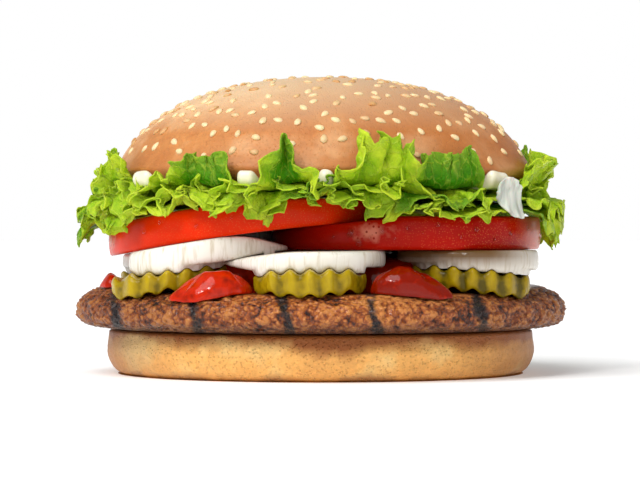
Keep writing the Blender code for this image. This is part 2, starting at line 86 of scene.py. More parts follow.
class BurgerSizes(bpy.types.PropertyGroup):
    """Sizes of the burger's layers."""

    heel_radius: length("Heel radius", "Outer radius of the bottom bun", 57.4)
    heel_height: length("Heel height", "Height of the bottom bun", 11.9)
    patty_radius: length("Patty radius", "Outer radius of the patty", 65.8)
    patty_bottom: length("Patty underside", "Height of the patty's underside", 12.2)
    patty_top: length("Patty top", "Height of the patty's upper side", 22.0)
    pickle_wave: length("Pickle wave", "Half the depth of the crinkle cut", 0.65)
    pickle_pitch: length("Pickle pitch", "Distance between two crests of the crinkle cut", 4.9)
    tomato_thickness: length("Tomato thickness", "Thickness of the left tomato slice", 8.0)
    leaf_thickness: length("Leaf thickness", "Thickness of a lettuce leaf", 0.3)
    crown_radius: length("Crown radius", "Outer radius of the top bun", 55.8)
    crown_waist: length("Crown waist", "Height at which the top bun is widest", 54.0)
    crown_top: length("Crown top", "Height of the top bun's highest point", 79.0)
    seed_length: length("Seed length", "Length of a sesame seed", 3.1)
    seed_width: length("Seed width", "Width of a sesame seed", 2.0)
    seed_height: length("Seed height", "Thickness of a sesame seed", 1.1)


class BurgerColours(bpy.types.PropertyGroup):
    """Colours of the burger's food."""

    crust_light: shade("Crust, light", "Palest part of the crown", "efbe8a")
    crust_mid: shade("Crust, middle", "Most of the crown", "d08a4c")
    # crust_dark also serves as painted shade on the crown's ends and towards +X
    crust_dark: shade("Crust, dark", "Deepest baked part of the crown", "ac5f29")
    # Painted light: the paler colour drawn on the crown's top, where the light falls
    crust_crest: shade("Crust, crest", "Palest top of the crown", "ffe4b8")
    heel_light: shade("Heel, light", "Palest part of the heel", "ffdc92")
    heel_mid: shade("Heel, middle", "Most of the heel", "fbbb66")
    # heel_dark also serves as painted shade on the heel's ends and, in part, on its top band under the patty
    heel_dark: shade("Heel, dark", "Baked edge of the heel", "96501f")
    sesame: shade("Sesame", "Sesame seed", "f3d6a4")
    sesame_toasted: shade("Sesame, toasted", "Toasted end of a seed", "c68d4c")
    beef_light: shade("Beef, light", "Browned granules", "f29a4c")
    beef_mid: shade("Beef, middle", "Most of the patty", "b85a20")
    # beef_dark also serves as painted shade on the patty's ends and lower rim
    beef_dark: shade("Beef, dark", "Crevices and ends", "34140a")
    char: shade("Char", "Stripes left by the grill", "171013")
    pickle_flesh: shade("Pickle flesh", "Flesh between the ribs", "9c8208")
    pickle_pale: shade("Pickle rib", "Paler ribs and edges", "b79c12")
    pickle_rind: shade("Pickle rind", "Dark skin", "574a06")
    ketchup: shade("Ketchup", "Ketchup", "c22402")
    onion: shade("Onion", "Onion flesh", "f2ede2")
    onion_vein: shade("Onion fibre", "Darker fibres of the onion", "d6cbb6")
    # Painted shade: the onion's colour where the tomato shades it at the burger's right
    onion_juice: shade("Onion, soaked", "Where juices soak the onion", "6c4e2c")
    # Partly painted light and shade: the left slice drawn brighter on the lit side, the right slice deeper
    # on the side away from the light
    tomato_bright: shade("Tomato, bright", "Left slice", "f43202")
    tomato_deep: shade("Tomato, deep", "Right slice", "b21202")
    # Also the colour of the painted reflection on each slice
    tomato_pale: shade("Tomato, pale", "Pale flesh and specks", "e08a72")
    leaf_bright: shade("Leaf, bright", "Yellow green of the frills", "bdd82c")
    leaf_mid: shade("Leaf, middle", "Most of the leaf", "90bb16")
    leaf_dark: shade("Leaf, dark", "Smooth green parts", "3f8406")
    leaf_edge: shade("Leaf, edge", "Pale margin and veins", "d2e052")
    rib: shade("Leaf rib", "Whitish rib piece", "dfe3d6")
    mayonnaise: shade("Mayonnaise", "Mayonnaise", "f5efd8")
    floor: shade("Floor", "Studio floor", "f6f6f6")


# Shape helpers

def clamped(value):
    """The value held between 0 and 1."""
    return min(max(value, 0.0), 1.0)


def smoothstep(low, high, value):
    """Ease from 0 at low to 1 at high."""
    share = clamped((value - low) / (high - low))
    return share * share * (3.0 - 2.0 * share)


def mix(first, second, share):
    """Blend two values."""
    return first + (second - first) * share


def along(stations, value):
    """Read a line of straight runs through (place, height) stations."""
    if value <= stations[0][0]:
        return stations[0][1]
    for (low, start), (high, end) in zip(stations, stations[1:]):
        if value <= high:
            return mix(start, end, (value - low) / (high - low))
    return stations[-1][1]


def bearing_gap(first, second):
    """Signed difference of two bearings, from -180 to 180."""
    return (first - second + 180.0) % 360.0 - 180.0


def bump(bearing, centre, half_width, power=4.0):
    """A bump on the bearing circle, 1 at its centre; a low power makes it pointed."""
    return math.exp(-abs(bearing_gap(bearing, centre) / half_width) ** power)


def at_bearing(bearing, radius, height):
    """The point at a bearing and a radius from the burger's axis."""
    turn = math.radians(bearing)
    return Vector((radius * math.sin(turn), -radius * math.cos(turn), height))


def beside(centre, bearing, radius, squash=1.0):
    """The x and y at a bearing and a radius from a centre; squash shortens the way along Y."""
    turn = math.radians(bearing)
    return centre[0] + radius * math.sin(turn), centre[1] - radius * squash * math.cos(turn)


def rim_share(radius, outer, run):
    """How far out on a rim a radius lies: 0 where the rim's run begins, 1 at its outer edge."""
    return clamped((radius - outer + run) / run)


def wobble(bearing, scale, seed):
    """Irregular variation round a circle, from about -1 to 1; a larger scale is finer."""
    turn = math.radians(bearing)
    return noise.noise(Vector((math.cos(turn) * scale, math.sin(turn) * scale, seed * 7.3)))


def measures(context):
    """The sizes in millimetres as plain numbers, quick to read in loops."""
    group = context.scene.burger_sizes
    return SimpleNamespace(**{name: getattr(group, name) / MM for name in BurgerSizes.__annotations__})


def finish_piece(name, shape, look, nodes, sharp=SHARP_ANGLE):
    """Turn a bmesh in millimetres into a piece that rides on the burger and stands for CAD nodes."""
    bmesh.ops.scale(shape, vec=Vector((MM, MM, MM)), verts=shape.verts)
    bmesh.ops.recalc_face_normals(shape, faces=shape.faces)
    mesh = bpy.data.meshes.new(name)
    shape.to_mesh(mesh)
    shape.free()
    mesh.materials.append(look)
    mesh.shade_smooth()
    mesh.set_sharp_from_angle(angle=math.radians(sharp))
    piece = bpy.data.objects.new(name, mesh)
    bpy.context.scene.collection.objects.link(piece)
    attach(piece, "root")
    if nodes:
        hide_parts(*nodes)
    return piece


def wrapped(columns, path, place, mark=None, hollow=None):
    """Reshape a UV sphere: its rings go to the path's pairs of reach and level, in their order.

    reach is a share of the outline's radius and level a share of the height. place turns a bearing, a
    reach and a level into a point. The attribute tone gets what mark says of that point, and the
    attribute hollow what hollow says of the point placed last, which is how deep it lies.
    """
    shape = bmesh.new()
    steps = len(path) - 1
    bmesh.ops.create_uvsphere(shape, u_segments=columns, v_segments=steps, radius=1.0)
    tone = shape.verts.layers.float.new("tone")
    sunk = shape.verts.layers.float.new("hollow")
    for vert in shape.verts:
        ring = round(math.acos(max(-1.0, min(1.0, vert.co.z))) / math.pi * steps)
        bearing = math.degrees(math.atan2(vert.co.x, -vert.co.y))
        vert.co = place(bearing, *path[ring])
        if mark:
            vert[tone] = mark(vert.co)
        if hollow:
            vert[sunk] = hollow()
    return shape


def spread(first, last, count):
    """Evenly spaced values from first to last."""
    return [mix(first, last, step / (count - 1)) for step in range(count)]


def disc_path(flat, upper, lower, edge):
    """Path of a disc: the upper face out to the share flat, the edge, and the lower face back in.

    upper and lower are how many rings each face has.
    """
    outward = [(reach, 1.0) for reach in spread(0.0, flat, upper)]
    return outward + list(edge) + [(reach, 0.0) for reach in spread(flat, 0.0, lower)]


# Bun

CROWN_UNDERSIDE = 50.3
CROWN_FLANK = 3.0
CROWN_EDGE_RUN = 5.8
CROWN_OFFSET = Vector((0.7, 0.0, 0.0))
# Height of the point from which the crown's slight unevenness is pushed outward
CROWN_HEART = 30.0
HEEL_EDGE_RUN = 5.0
HEEL_EDGE_RISE = 7.0
# How far the heel's side leans in above its rounded edge, the reach at which that side begins, and
# how deep its dimples are as a share of the radius
HEEL_LEAN = 0.7
HEEL_SIDE = 0.99
HEEL_DIMPLE = 0.0026


def heel_shape(m):
    """Heel: flat base, rounded lower edge, sides that draw in a little to the top."""

    def place(bearing, reach, level):
        radius = m.heel_radius - 0.1 + 0.5 * wobble(bearing, 1.3, 1) + 0.12 * wobble(bearing, 14.0, 2)
        height = m.heel_height * level
        drawn_in = 0.0
        if reach >= HEEL_SIDE:
            rise = min(height / HEEL_EDGE_RISE, 1.0)
            drawn_in = HEEL_EDGE_RUN * (1.0 - math.sqrt(1.0 - (1.0 - rise) ** 2))
            drawn_in += HEEL_LEAN * max(height - HEEL_EDGE_RISE, 0.0) / (m.heel_height - HEEL_EDGE_RISE)
        point = at_bearing(bearing, (radius - drawn_in) * reach, height)
        if reach >= HEEL_SIDE:
            dimple = noise.noise(point * 0.32) + 0.7 * noise.noise(point * 0.9)
            point.x *= 1.0 + HEEL_DIMPLE * dimple
            point.y *= 1.0 + HEEL_DIMPLE * dimple
        return point

    path = [(0.0, 1.0), (0.5, 1.0), (0.9, 1.0), (0.97, 1.0), (0.99, 0.985)]
    path += [(1.0, level) for level in spread(0.95, 0.6, 10)]
    path += [(1.0, level) for level in (0.5, 0.4, 0.3, 0.22, 0.15, 0.1, 0.06, 0.03, 0.01)]
    path += [(0.95, 0.0), (0.6, 0.0), (0.0, 0.0)]
    return wrapped(320, path, place)


def crown_radius(m, level):
    """Radius of the dome's skin at a share of its height above the waist."""
    round_part = m.crown_radius * math.sqrt(max(1.0 - level * level, 0.0))
    return round_part - CROWN_FLANK * 4.0 * level * (1.0 - level) ** 1.5


def crown_under(m, radius):
    """Height of the crown's underside and turned in lower edge."""
    share = rim_share(radius, m.crown_radius, CROWN_EDGE_RUN)
    return m.crown_waist - (m.crown_waist - CROWN_UNDERSIDE) * math.sqrt(1.0 - share * share)


def crown_skin(m, bearing, level):
    """Point of the dome's skin; level runs from 0 at the waist to 1 at the top."""
    radius = crown_radius(m, level) * (1.0 + 0.008 * wobble(bearing, 1.1, 3))
    height = mix(m.crown_waist, m.crown_top, level)
    return at_bearing(bearing, radius, height) + CROWN_OFFSET


def crown_shape(m):
    """Crown: levels above 0 lie on the dome, and level 0 is the edge and the underside."""

    def place(bearing, reach, level):
        if level > 0.0:
            point = crown_skin(m, bearing, level)
            soft = 0.16 * noise.noise(point * 0.09) * math.sqrt(1.0 - level)
            outward = (point - Vector((0.0, 0.0, CROWN_HEART))).normalized()
            return point + outward * (soft - 0.12 * (1.0 - level))
        radius = m.crown_radius * reach * (1.0 + 0.008 * wobble(bearing, 1.1, 3))
        return at_bearing(bearing, radius, crown_under(m, m.crown_radius * reach)) + CROWN_OFFSET

    path = [(0.0, math.cos(math.radians(angle))) for angle in spread(0.0, 88.5, 60)]
    path += [(1.0, 0.0), (0.998, 0.0), (0.99, 0.0), (0.975, 0.0), (0.955, 0.0), (0.93, 0.0), (0.895, 0.0)]
    path += [(0.6, 0.0), (0.0, 0.0)]
    return wrapped(300, path, place)


# Passes that place the seeds: (how many there are after it, least distance between two in mm)
SEED_PASSES = ((126, 5.6), (345, 3.2))
SEED_TRIES = 60000
SEED_PLACE_DRAWS = 41
SEED_FORM_DRAWS = 7
# How much narrower and thinner a seed gets towards its tip, and how far in radians it tilts on the skin
SEED_TAPER = 0.62
SEED_THINNING = 0.25
SEED_TILT = (0.16, 0.1)


def seed_places(m):
    """Places on the dome for the seeds: dense on top, thinning towards the rim."""
    draw = random.Random(SEED_PLACE_DRAWS)
    places = []
    for count, spacing in SEED_PASSES:
        tries = 0
        while len(places) < count and tries < SEED_TRIES:
            tries += 1
            level = draw.uniform(0.06, 0.999)
            bearing = draw.uniform(-180.0, 180.0)
            keep = smoothstep(0.0, 0.55, level)
            area = crown_radius(m, level) / m.crown_radius + 0.25 * level
            chance = draw.random()
            turn = draw.uniform(0.0, math.tau)
            if chance > area * (0.22 + 0.78 * keep):
                continue
            point = crown_skin(m, bearing, level)
            near = spacing * (1.0 + 0.8 * (1.0 - keep))
            if any((point - other[0]).length < near for other in places):
                continue
            around = crown_skin(m, bearing + 1.0, level) - point
            upward = crown_skin(m, bearing, min(level + 0.004, 1.0)) - point
            places.append((point, around.cross(upward).normalized(), turn))
    return places


def seeds_shape(m):
    """All the sesame seeds as one mesh: flattened teardrops, half sunk in the skin."""
    shape = bmesh.new()
    tone = shape.verts.layers.float.new("tone")
    draw = random.Random(SEED_FORM_DRAWS)
    for point, normal, turn in seed_places(m):
        size = draw.uniform(0.8, 1.0)
        toast = draw.random()
        made = bmesh.ops.create_uvsphere(shape, u_segments=8, v_segments=6, radius=0.5)["verts"]
        for vert in made:
            taper = 1.0 - SEED_TAPER * vert.co.x
            vert[tone] = min(1.0, 0.75 * toast ** 3 + 0.9 * max(vert.co.x - 0.2, 0.0))
            vert.co = Vector((vert.co.x * m.seed_length, vert.co.y * m.seed_width * taper,
                              vert.co.z * m.seed_height * (1.0 - SEED_THINNING * vert.co.x))) * size
        tilt = normal.to_track_quat("Z", "Y").to_matrix().to_4x4()
        lean = Matrix.Rotation(draw.uniform(-SEED_TILT[0], SEED_TILT[0]), 4, "X")
        lean = lean @ Matrix.Rotation(draw.uniform(-SEED_TILT[1], SEED_TILT[1]), 4, "Y")
        placing = Matrix.Translation(point) @ tilt @ Matrix.Rotation(turn, 4, "Z") @ lean
        bmesh.ops.transform(shape, matrix=placing, verts=made)
    return shape


# Patty

PATTY_RIM_RUN = 9.8
PATTY_SIDE_RISE = 1.6
PATTY_UNDER_POWER = 3.0
# Depth in mm of the shallowest crags, which is left out, and of a grill stripe
CRAG_START = 0.45
CHAR_DEPTH = 0.35
# Place along X of each stripe that the grill left, at the height CHAR_LEVEL, and its lean per mm of height
CHAR_BARS = (-52.7, -31.7, -8.9, 13.2, 40.3)
CHAR_LEVEL = 17.0
CHAR_LEAN = 0.22


def patty_height(m, bearing, radius):
    """Height of the patty's upper surface, crags left out."""
    side = max(bump(bearing, 90.0, 22.0), bump(bearing, -90.0, 22.0))
    top = m.patty_top + PATTY_SIDE_RISE * side * smoothstep(50.0, 58.0, radius)
    share = rim_share(radius, m.patty_radius, PATTY_RIM_RUN)
    middle = 0.5 * (m.patty_top + m.patty_bottom)
    return middle + (top - middle) * math.sqrt(1.0 - share * share)


def patty_top_at(m, x, y):
    """Height of the patty's upper surface at a place."""
    return patty_height(m, math.degrees(math.atan2(x, -y)), math.hypot(x, y))


def char_mark(point):
    """1 on a grill stripe, 0 away from it."""
    drift = point.x + CHAR_LEAN * (point.z - CHAR_LEVEL)
    drift = drift + 1.1 * noise.noise(point * 0.3) + 0.7 * noise.noise(point * 1.1)
    nearest = min(abs(drift - bar) for bar in CHAR_BARS)
    broken = 0.5 + 0.5 * noise.noise(point * 0.45 + Vector((9.0, 0.0, 0.0)))
    return (1.0 - smoothstep(0.8, 1.8, nearest)) * smoothstep(0.1, 0.36, broken)


def patty_shape(m):
    """Patty: round rim with crags and granules of ground beef."""
    middle = 0.5 * (m.patty_top + m.patty_bottom)
    depths = [0.0]

    def place(bearing, reach, level):
        radius = m.patty_radius * reach
        upper = patty_height(m, bearing, radius)
        sunk = rim_share(radius, m.patty_radius, PATTY_RIM_RUN)
        fuller = (1.0 - sunk ** PATTY_UNDER_POWER) ** (1.0 / PATTY_UNDER_POWER)
        lower = middle - (middle - m.patty_bottom) * fuller
        height = middle if level == 0.5 else (upper if level > 0.5 else lower)
        point = at_bearing(bearing, radius, height)
        outward = Vector((point.x, point.y, 0.0)).normalized()
        share = smoothstep(0.84, 1.0, reach)
        upward = Vector((0.0, 0.0, (1.0 if level > 0.5 else -1.0) * (1.0 - share)))
        facing = (outward * share + upward).normalized()
        rim = smoothstep(0.86, 0.95, reach)
        crag = abs(noise.noise(point * 0.16)) + 0.5 * abs(noise.noise(point * 0.41))
        bent = point + 0.6 * noise.noise_vector(point * 0.7)
        grain = noise.voronoi(bent * 0.68)[0][0]
        fine = noise.noise(point * 1.4)
        lump = noise.voronoi(bent * 0.3)[0][0]
        depths[0] = 0.7 * crag + 1.15 * lump + 1.15 * grain + 0.34 * fine
        deep = depths[0] - CRAG_START + CHAR_DEPTH * char_mark(point)
        return point - facing * max(deep, 0.0) * rim

    rim = []
    for angle in spread(6.0, 174.0, 76):
        share = math.sin(math.radians(angle))
        reach = 1.0 - PATTY_RIM_RUN / m.patty_radius * (1.0 - share)
        rim.append((reach, 0.5 if abs(angle - 90.0) < 1.0 else (1.0 if angle < 90.0 else 0.0)))
    path = [(0.0, 1.0), (0.7, 1.0), (0.8, 1.0), (0.83, 1.0), (0.845, 1.0)] + rim
    path += [(0.845, 0.0), (0.8, 0.0), (0.7, 0.0), (0.0, 0.0)]
    return wrapped(880, path, place, char_mark, lambda: depths[0])


# Pickles: (name, (x, y, radius), lift of the right end, or of the left end if negative, thickness)
PICKLES = (
    ("pickle_left", (-39.0, -30.0, 15.0), 3.0, 3.6),
    ("pickle_centre", (-2.8, -48.0, 14.2), 0.5, 4.7),
    ("pickle_right", (38.5, -29.0, 15.6), -2.0, 4.5),
    ("pickle_back_left", (-40.0, 22.0, 15.0), 0.4, 4.0),
    ("pickle_back_centre", (-4.0, 46.0, 14.4), -0.4, 4.2),
    ("pickle_back_right", (36.0, 30.0, 15.4), 0.4, 4.1),
)
PICKLE_TAPER = 0.27
PICKLE_SINK = 0.7
# Height in mm of the ribs and of the roughness round a pickle's rim
PICKLE_RIB = 0.42
PICKLE_ROUGH = 0.3


def pickle_heights(m, x, y, centre, lift, thickness):
    """Lower and upper face of a pickle, in phase, lying on the patty."""
    droop = m.patty_top - patty_top_at(m, x, y)
    across = (x - centre[0]) / centre[2]
    rise = abs(lift) * (0.5 + math.copysign(0.5, lift) * across) ** 2
    wave = m.pickle_wave * math.cos(math.tau * (x - centre[0]) / m.pickle_pitch)
    lower = m.patty_top + 0.3 + m.pickle_wave + wave + rise - droop
    upper = lower + thickness * (1.0 - PICKLE_TAPER * across ** 4) + 0.5 * droop
    return lower - PICKLE_SINK, upper


def pickle_shape(m, centre, lift, thickness):
    """Crinkle cut slice, its two faces waving in step along X."""

    def place(bearing, reach, level):
        rib = math.cos(math.tau * centre[2] * math.sin(math.radians(bearing)) / m.pickle_pitch)
        rough = noise.noise(Vector((centre[0] + bearing * 0.35, level * 2.0, 3.0)))
        radius = centre[2] * (1.0 + 0.012 * wobble(bearing, 2.0, centre[0])) * reach
        radius += (PICKLE_RIB * rib + PICKLE_ROUGH * rough - PICKLE_RIB) * reach * reach
        x, y = beside(centre, bearing, radius)
        lower, upper = pickle_heights(m, x, y, centre, lift, thickness)
        return Vector((x, y, mix(lower, upper, level)))

    def mark(point):
        """1 on a rib of the crinkle cut, 0 between two ribs."""
        return 0.5 + 0.5 * math.cos(math.tau * (point.x - centre[0]) / m.pickle_pitch)

    edge = ((0.965, 0.975), (0.985, 0.9), (0.996, 0.78), (1.0, 0.62), (1.0, 0.5), (1.0, 0.38),
            (0.996, 0.22), (0.985, 0.1), (0.965, 0.025))
    return wrapped(200, disc_path(0.93, 20, 20, edge), place, mark)


def pickle_top(m, x, y):
    """Height of the top of the pickle under a place, or None where there is none."""
    for _, centre, lift, thickness in PICKLES:
        if math.hypot(x - centre[0], y - centre[1]) < centre[2] * 0.985:
            return pickle_heights(m, x, y, centre, lift, thickness)[1]
    return None


# Ketchup: (name, centre, radii, height, shift of the peak)
KETCHUPS = (
    ("ketchup_left", (-27.6, -50.5), (10.0, 5.6), 5.8, 0.25),
    ("ketchup_right", (22.2, -51.6), (10.4, 5.4), 6.6, -0.3),
    ("ketchup_side", (-55.0, -13.5), (3.2, 4.6), 3.2, 0.0),
    ("ketchup_back_left", (-27.0, 46.0), (8.0, 5.4), 4.6, 0.2),
    ("ketchup_back_right", (17.5, 51.5), (6.5, 4.6), 4.2, -0.2),
)


def ketchup_shape(m, centre, radii, height, lean):
    """Rounded lumpy blob on the patty."""

    def place(bearing, reach, level):
        turn = math.radians(bearing)
        lumps = 0.12 * wobble(bearing, 1.6, height) + 0.07 * wobble(bearing, 4.5, height + 3.0)
        spread_out = reach * (1.0 + lumps)
        x = centre[0] + radii[0] * spread_out * math.sin(turn)
        y = centre[1] - radii[1] * spread_out * math.cos(turn)
        ground = patty_top_at(m, x, y) + 0.2
        if level == 0.0:
            return Vector((x, y, ground))
        offset = (x - centre[0] - lean * radii[0]) / (radii[0] * (1.0 + abs(lean)))
        rise = height * level * math.exp(-0.9 * offset * offset)
        swell = noise.noise(Vector((x, y, 4.0)) * 0.24) + 0.35 * noise.noise(Vector((x, y, 9.0)) * 0.5)
        return Vector((x, y, ground + rise * (1.0 + 0.22 * swell)))

    path = [(math.sin(turn) ** 0.8, math.cos(turn) ** 0.75) for turn in spread(0.0, 1.5, 26)]
    path += [(1.0, 0.03), (0.985, 0.0), (0.9, 0.0), (0.5, 0.0), (0.0, 0.0)]
    return wrapped(90, path, place)


SMEAR_RADII = (46.0, 36.0)
SMEAR_TOP = 32.0


def smear_shape(m):
    """Thin sauce that fills the hollows between the pickles and under the onions."""

    def place(bearing, reach, level):
        turn = math.radians(bearing)
        lumps = 1.0 + 0.09 * wobble(bearing, 2.4, 12.0) + 0.05 * wobble(bearing, 9.0, 15.0)
        x = SMEAR_RADII[0] * reach * lumps * math.sin(turn)
        y = -SMEAR_RADII[1] * reach * lumps * math.cos(turn) - 2.0
        swell = 0.9 * noise.noise(Vector((x, y, 5.0)) * 0.16)
        return Vector((x, y, mix(m.patty_top - 0.8, SMEAR_TOP + swell - 2.4 * reach ** 4, level)))

    path = [(reach, 1.0) for reach in spread(0.0, 0.94, 18)]
    path += [(0.97, 0.95), (0.99, 0.85), (1.0, 0.68), (1.0, 0.5), (1.0, 0.3), (0.995, 0.1), (0.98, 0.0)]
    path += [(0.6, 0.0), (0.0, 0.0)]
    return wrapped(160, path, place)


# Onion slices: (name, (x, y, radius, depth), heights of the lower and the upper face along X)
ONIONS = (
    ("onion_left", (-29.0, -28.0, 20.6, 0.87),
     ((-50.0, 27.6), (-40.0, 28.3), (-35.0, 28.9), (-30.5, 29.5), (-24.0, 30.2), (-17.0, 31.9),
      (-8.0, 33.1)),
     ((-50.0, 32.2), (-39.0, 34.2), (-29.0, 35.8), (-22.5, 36.7), (-17.0, 36.3), (-8.0, 33.8))),
    ("onion_centre", (-3.8, -36.5, 20.6, 1.0),
     ((-24.6, 29.3), (-20.0, 28.2), (-15.5, 27.8), (-8.0, 28.5), (3.0, 28.9), (9.0, 28.8), (17.0, 28.6)),
     ((-24.6, 29.9), (-20.5, 31.0), (-17.0, 31.6), (-8.0, 32.7), (17.0, 33.0))),
    ("onion_right", (38.0, -26.0, 18.5, 1.0),
     ((19.0, 30.1), (24.0, 29.6), (33.0, 29.9), (38.0, 29.3), (47.5, 28.6), (57.0, 27.6)),
     ((19.0, 33.0), (57.0, 33.0))),
    ("onion_back_left", (-32.4, 13.0, 21.6, 1.0),
     ((-54.0, 27.7), (-30.0, 28.6), (-14.0, 30.5)),
     ((-54.0, 31.5), (-39.0, 34.2), (-29.0, 35.8), (-22.5, 37.0), (-14.0, 38.5))),
    ("onion_back_centre", (2.0, 34.2, 20.0, 1.0),
     ((-18.0, 28.5), (22.0, 28.4)),
     ((-18.0, 33.0), (22.0, 33.0))),
    ("onion_back_right", (37.5, 13.0, 18.5, 1.0),
     ((18.0, 28.4), (57.0, 28.5)),
     ((18.0, 33.0), (57.0, 33.0))),
)
ONION_RINGS = 5.0
ONION_GROOVE = 0.1
# How far an onion may settle towards the pickle below, and the gap that stays between them
ONION_SETTLING = 1.5
ONION_GAP = 0.06


def eased_along(stations, value):
    """Stations read with a little smoothing, so that no kink shows."""
    return sum(along(stations, value + shift) for shift in (-2.4, -1.2, 0.0, 1.2, 2.4)) / 5.0


def onion_shape(m, centre, lower, upper):
    """Onion slice with a ribbed rim; its underside settles into the pickle below."""

    def place(bearing, reach, level):
        rib = 0.006 * wobble(bearing, 16.0, centre[0]) + 0.003 * wobble(bearing, 40.0, centre[1])
        radius = centre[2] * reach * (0.992 + 0.02 * wobble(bearing, 1.4, centre[0]) + rib)
        x, y = beside(centre, bearing, radius, centre[3])
        rings = 0.5 + 0.5 * math.cos(math.tau * reach * ONION_RINGS)
        groove = ONION_GROOVE * rings * smoothstep(0.0, 0.2, reach)
        low = eased_along(lower, x)
        high = eased_along(upper, x)
        bed = pickle_top(m, x, y)
        if bed is not None:
            low = min(low, max(bed + ONION_GAP, low - ONION_SETTLING))
        if level == 1.0:
            high -= groove
        return Vector((x, y, mix(low, high, level)))

    def mark(point):
        """How far painted shade darkens the onion: only at the burger's right, under the tomato."""
        return smoothstep(16.0, 20.0, point.x) * (1.0 - 0.6 * smoothstep(42.0, 57.0, point.x))

    edge = ((0.958, 0.985), (0.978, 0.945), (0.99, 0.87), (0.997, 0.77), (1.0, 0.65), (1.0, 0.5),
            (1.0, 0.35), (0.997, 0.23), (0.99, 0.13), (0.978, 0.055), (0.958, 0.015))
    return wrapped(220, disc_path(0.93, 22, 40, edge), place, mark)


# Tomato

TOMATO_LEFT = (-18.1, -2.0, 38.5)
TOMATO_RIGHT = (22.6, -2.0, 36.0)
TOMATO_RIGHT_BOTTOM = 33.3
TOMATO_RIGHT_TOP = 41.7
TOMATO_LEFT_CAP = 46.2
TOMATO_HALF_DEPTH = 44.5
# Underside of the left slice: where it starts along X and its height, slope and bend there, then where
# it begins to flatten and how fast
LEAN_START = -52.0
LEAN_HEIGHT = 32.2
LEAN_SLOPE = 0.1955
LEAN_BEND = 0.001022
LEAN_FLAT_RUN = 46.0
LEAN_FLAT_BEND = 0.0015


def tomato_lean(x):
    """Underside of the left slice: it rises from the left end and flattens on the right slice."""
    run = x - LEAN_START
    rise = LEAN_SLOPE * run - LEAN_BEND * run * run
    return LEAN_HEIGHT + rise + LEAN_FLAT_BEND * max(run - LEAN_FLAT_RUN, 0.0) ** 2


def tomato_left_heights(m, x):
    """Lower and upper face of the left slice."""
    lower = tomato_lean(x)
    return lower, min(lower + m.tomato_thickness, TOMATO_LEFT_CAP)


def tomato_right_heights(m, x):
    """Lower and upper face of the right slice, pressed down by the left one."""
    return TOMATO_RIGHT_BOTTOM, min(TOMATO_RIGHT_TOP, tomato_lean(x) - 0.3)


def tomato_outline(bearing, centre):
    """Distance from a slice's centre to its slightly lobed outline."""
    turn = math.radians(bearing)
    across = math.sin(turn) / centre[2]
    deep = math.cos(turn) / TOMATO_HALF_DEPTH
    return (1.0 + 0.012 * wobble(bearing, 1.5, centre[0])) / math.hypot(across, deep)


def tomato_reach(bearing):
    """Distance from the burger's axis to the outline of the two slices together."""
    turn = math.radians(bearing)
    x_step, y_step = math.sin(turn), -math.cos(turn)
    farthest = 0.0
    for centre in (TOMATO_LEFT, TOMATO_RIGHT):
        a = (x_step / centre[2]) ** 2 + (y_step / TOMATO_HALF_DEPTH) ** 2
        b = -(x_step * centre[0] / centre[2] ** 2 + y_step * centre[1] / TOMATO_HALF_DEPTH ** 2)
        c = (centre[0] / centre[2]) ** 2 + (centre[1] / TOMATO_HALF_DEPTH) ** 2 - 1.0
        farthest = max(farthest, (-b + math.sqrt(b * b - a * c)) / a)
    return farthest


def tomato_shape(m, centre, heights):
    """Tomato slice with a slightly bulging skin edge."""

    def place(bearing, reach, level):
        x, y = beside(centre, bearing, (tomato_outline(bearing, centre) - 0.05) * reach)
        lower, upper = heights(m, x)
        return Vector((x, y, mix(lower - 0.28, upper, level)))

    edge = ((0.978, 0.992), (0.986, 0.965), (0.991, 0.92), (0.995, 0.84), (0.998, 0.72), (1.0, 0.6),
            (1.0, 0.5), (1.0, 0.4), (0.998, 0.28), (0.995, 0.16), (0.991, 0.08), (0.986, 0.035),
            (0.978, 0.008))
    return wrapped(260, disc_path(0.965, 10, 10, edge), place)


# Water drops on the tomatoes: (bearing from the slice's centre, height, size)
DROPS_RIGHT = (
    (-27.5, 36.4, 0.8), (-20.5, 37.4, 1.9), (-17.4, 34.9, 1.7), (-9.3, 37.9, 1.4), (-13.5, 36.2, 0.7),
    (-5.0, 36.0, 0.7), (-1.0, 38.6, 1.0), (4.0, 37.4, 0.7), (9.0, 39.4, 1.1), (17.0, 36.4, 0.9),
    (23.0, 38.2, 1.4), (31.0, 35.8, 0.8), (40.0, 37.2, 1.2), (55.0, 38.6, 1.0), (78.0, 36.5, 1.3),
)
DROPS_LEFT = (
    (-41.0, 37.6, 1.2), (-33.0, 40.0, 0.9), (-18.0, 39.2, 1.3), (-6.0, 41.2, 0.8), (7.0, 40.6, 1.2),
    (-58.0, 38.0, 1.0),
)
# A drop's width, depth and height as shares of its size
DROP_FORM = (1.0, 0.62, 1.12)


def drops_shape():
    """Round beads of water that cling to the tomatoes' skin."""
    shape = bmesh.new()
    for centre, drops in ((TOMATO_RIGHT, DROPS_RIGHT), (TOMATO_LEFT, DROPS_LEFT)):
        for bearing, height, size in drops:
            made = bmesh.ops.create_uvsphere(shape, u_segments=14, v_segments=10, radius=0.5 * size)
            made = made["verts"]
            spot = Vector((*beside(centre, bearing, tomato_outline(bearing, centre) + 0.02), height))
            bmesh.ops.scale(shape, vec=Vector(DROP_FORM), verts=made)
            placing = Matrix.Translation(spot) @ Matrix.Rotation(math.radians(bearing), 4, "Z")
            bmesh.ops.transform(shape, matrix=placing, verts=made)
    return shape


# Lettuce

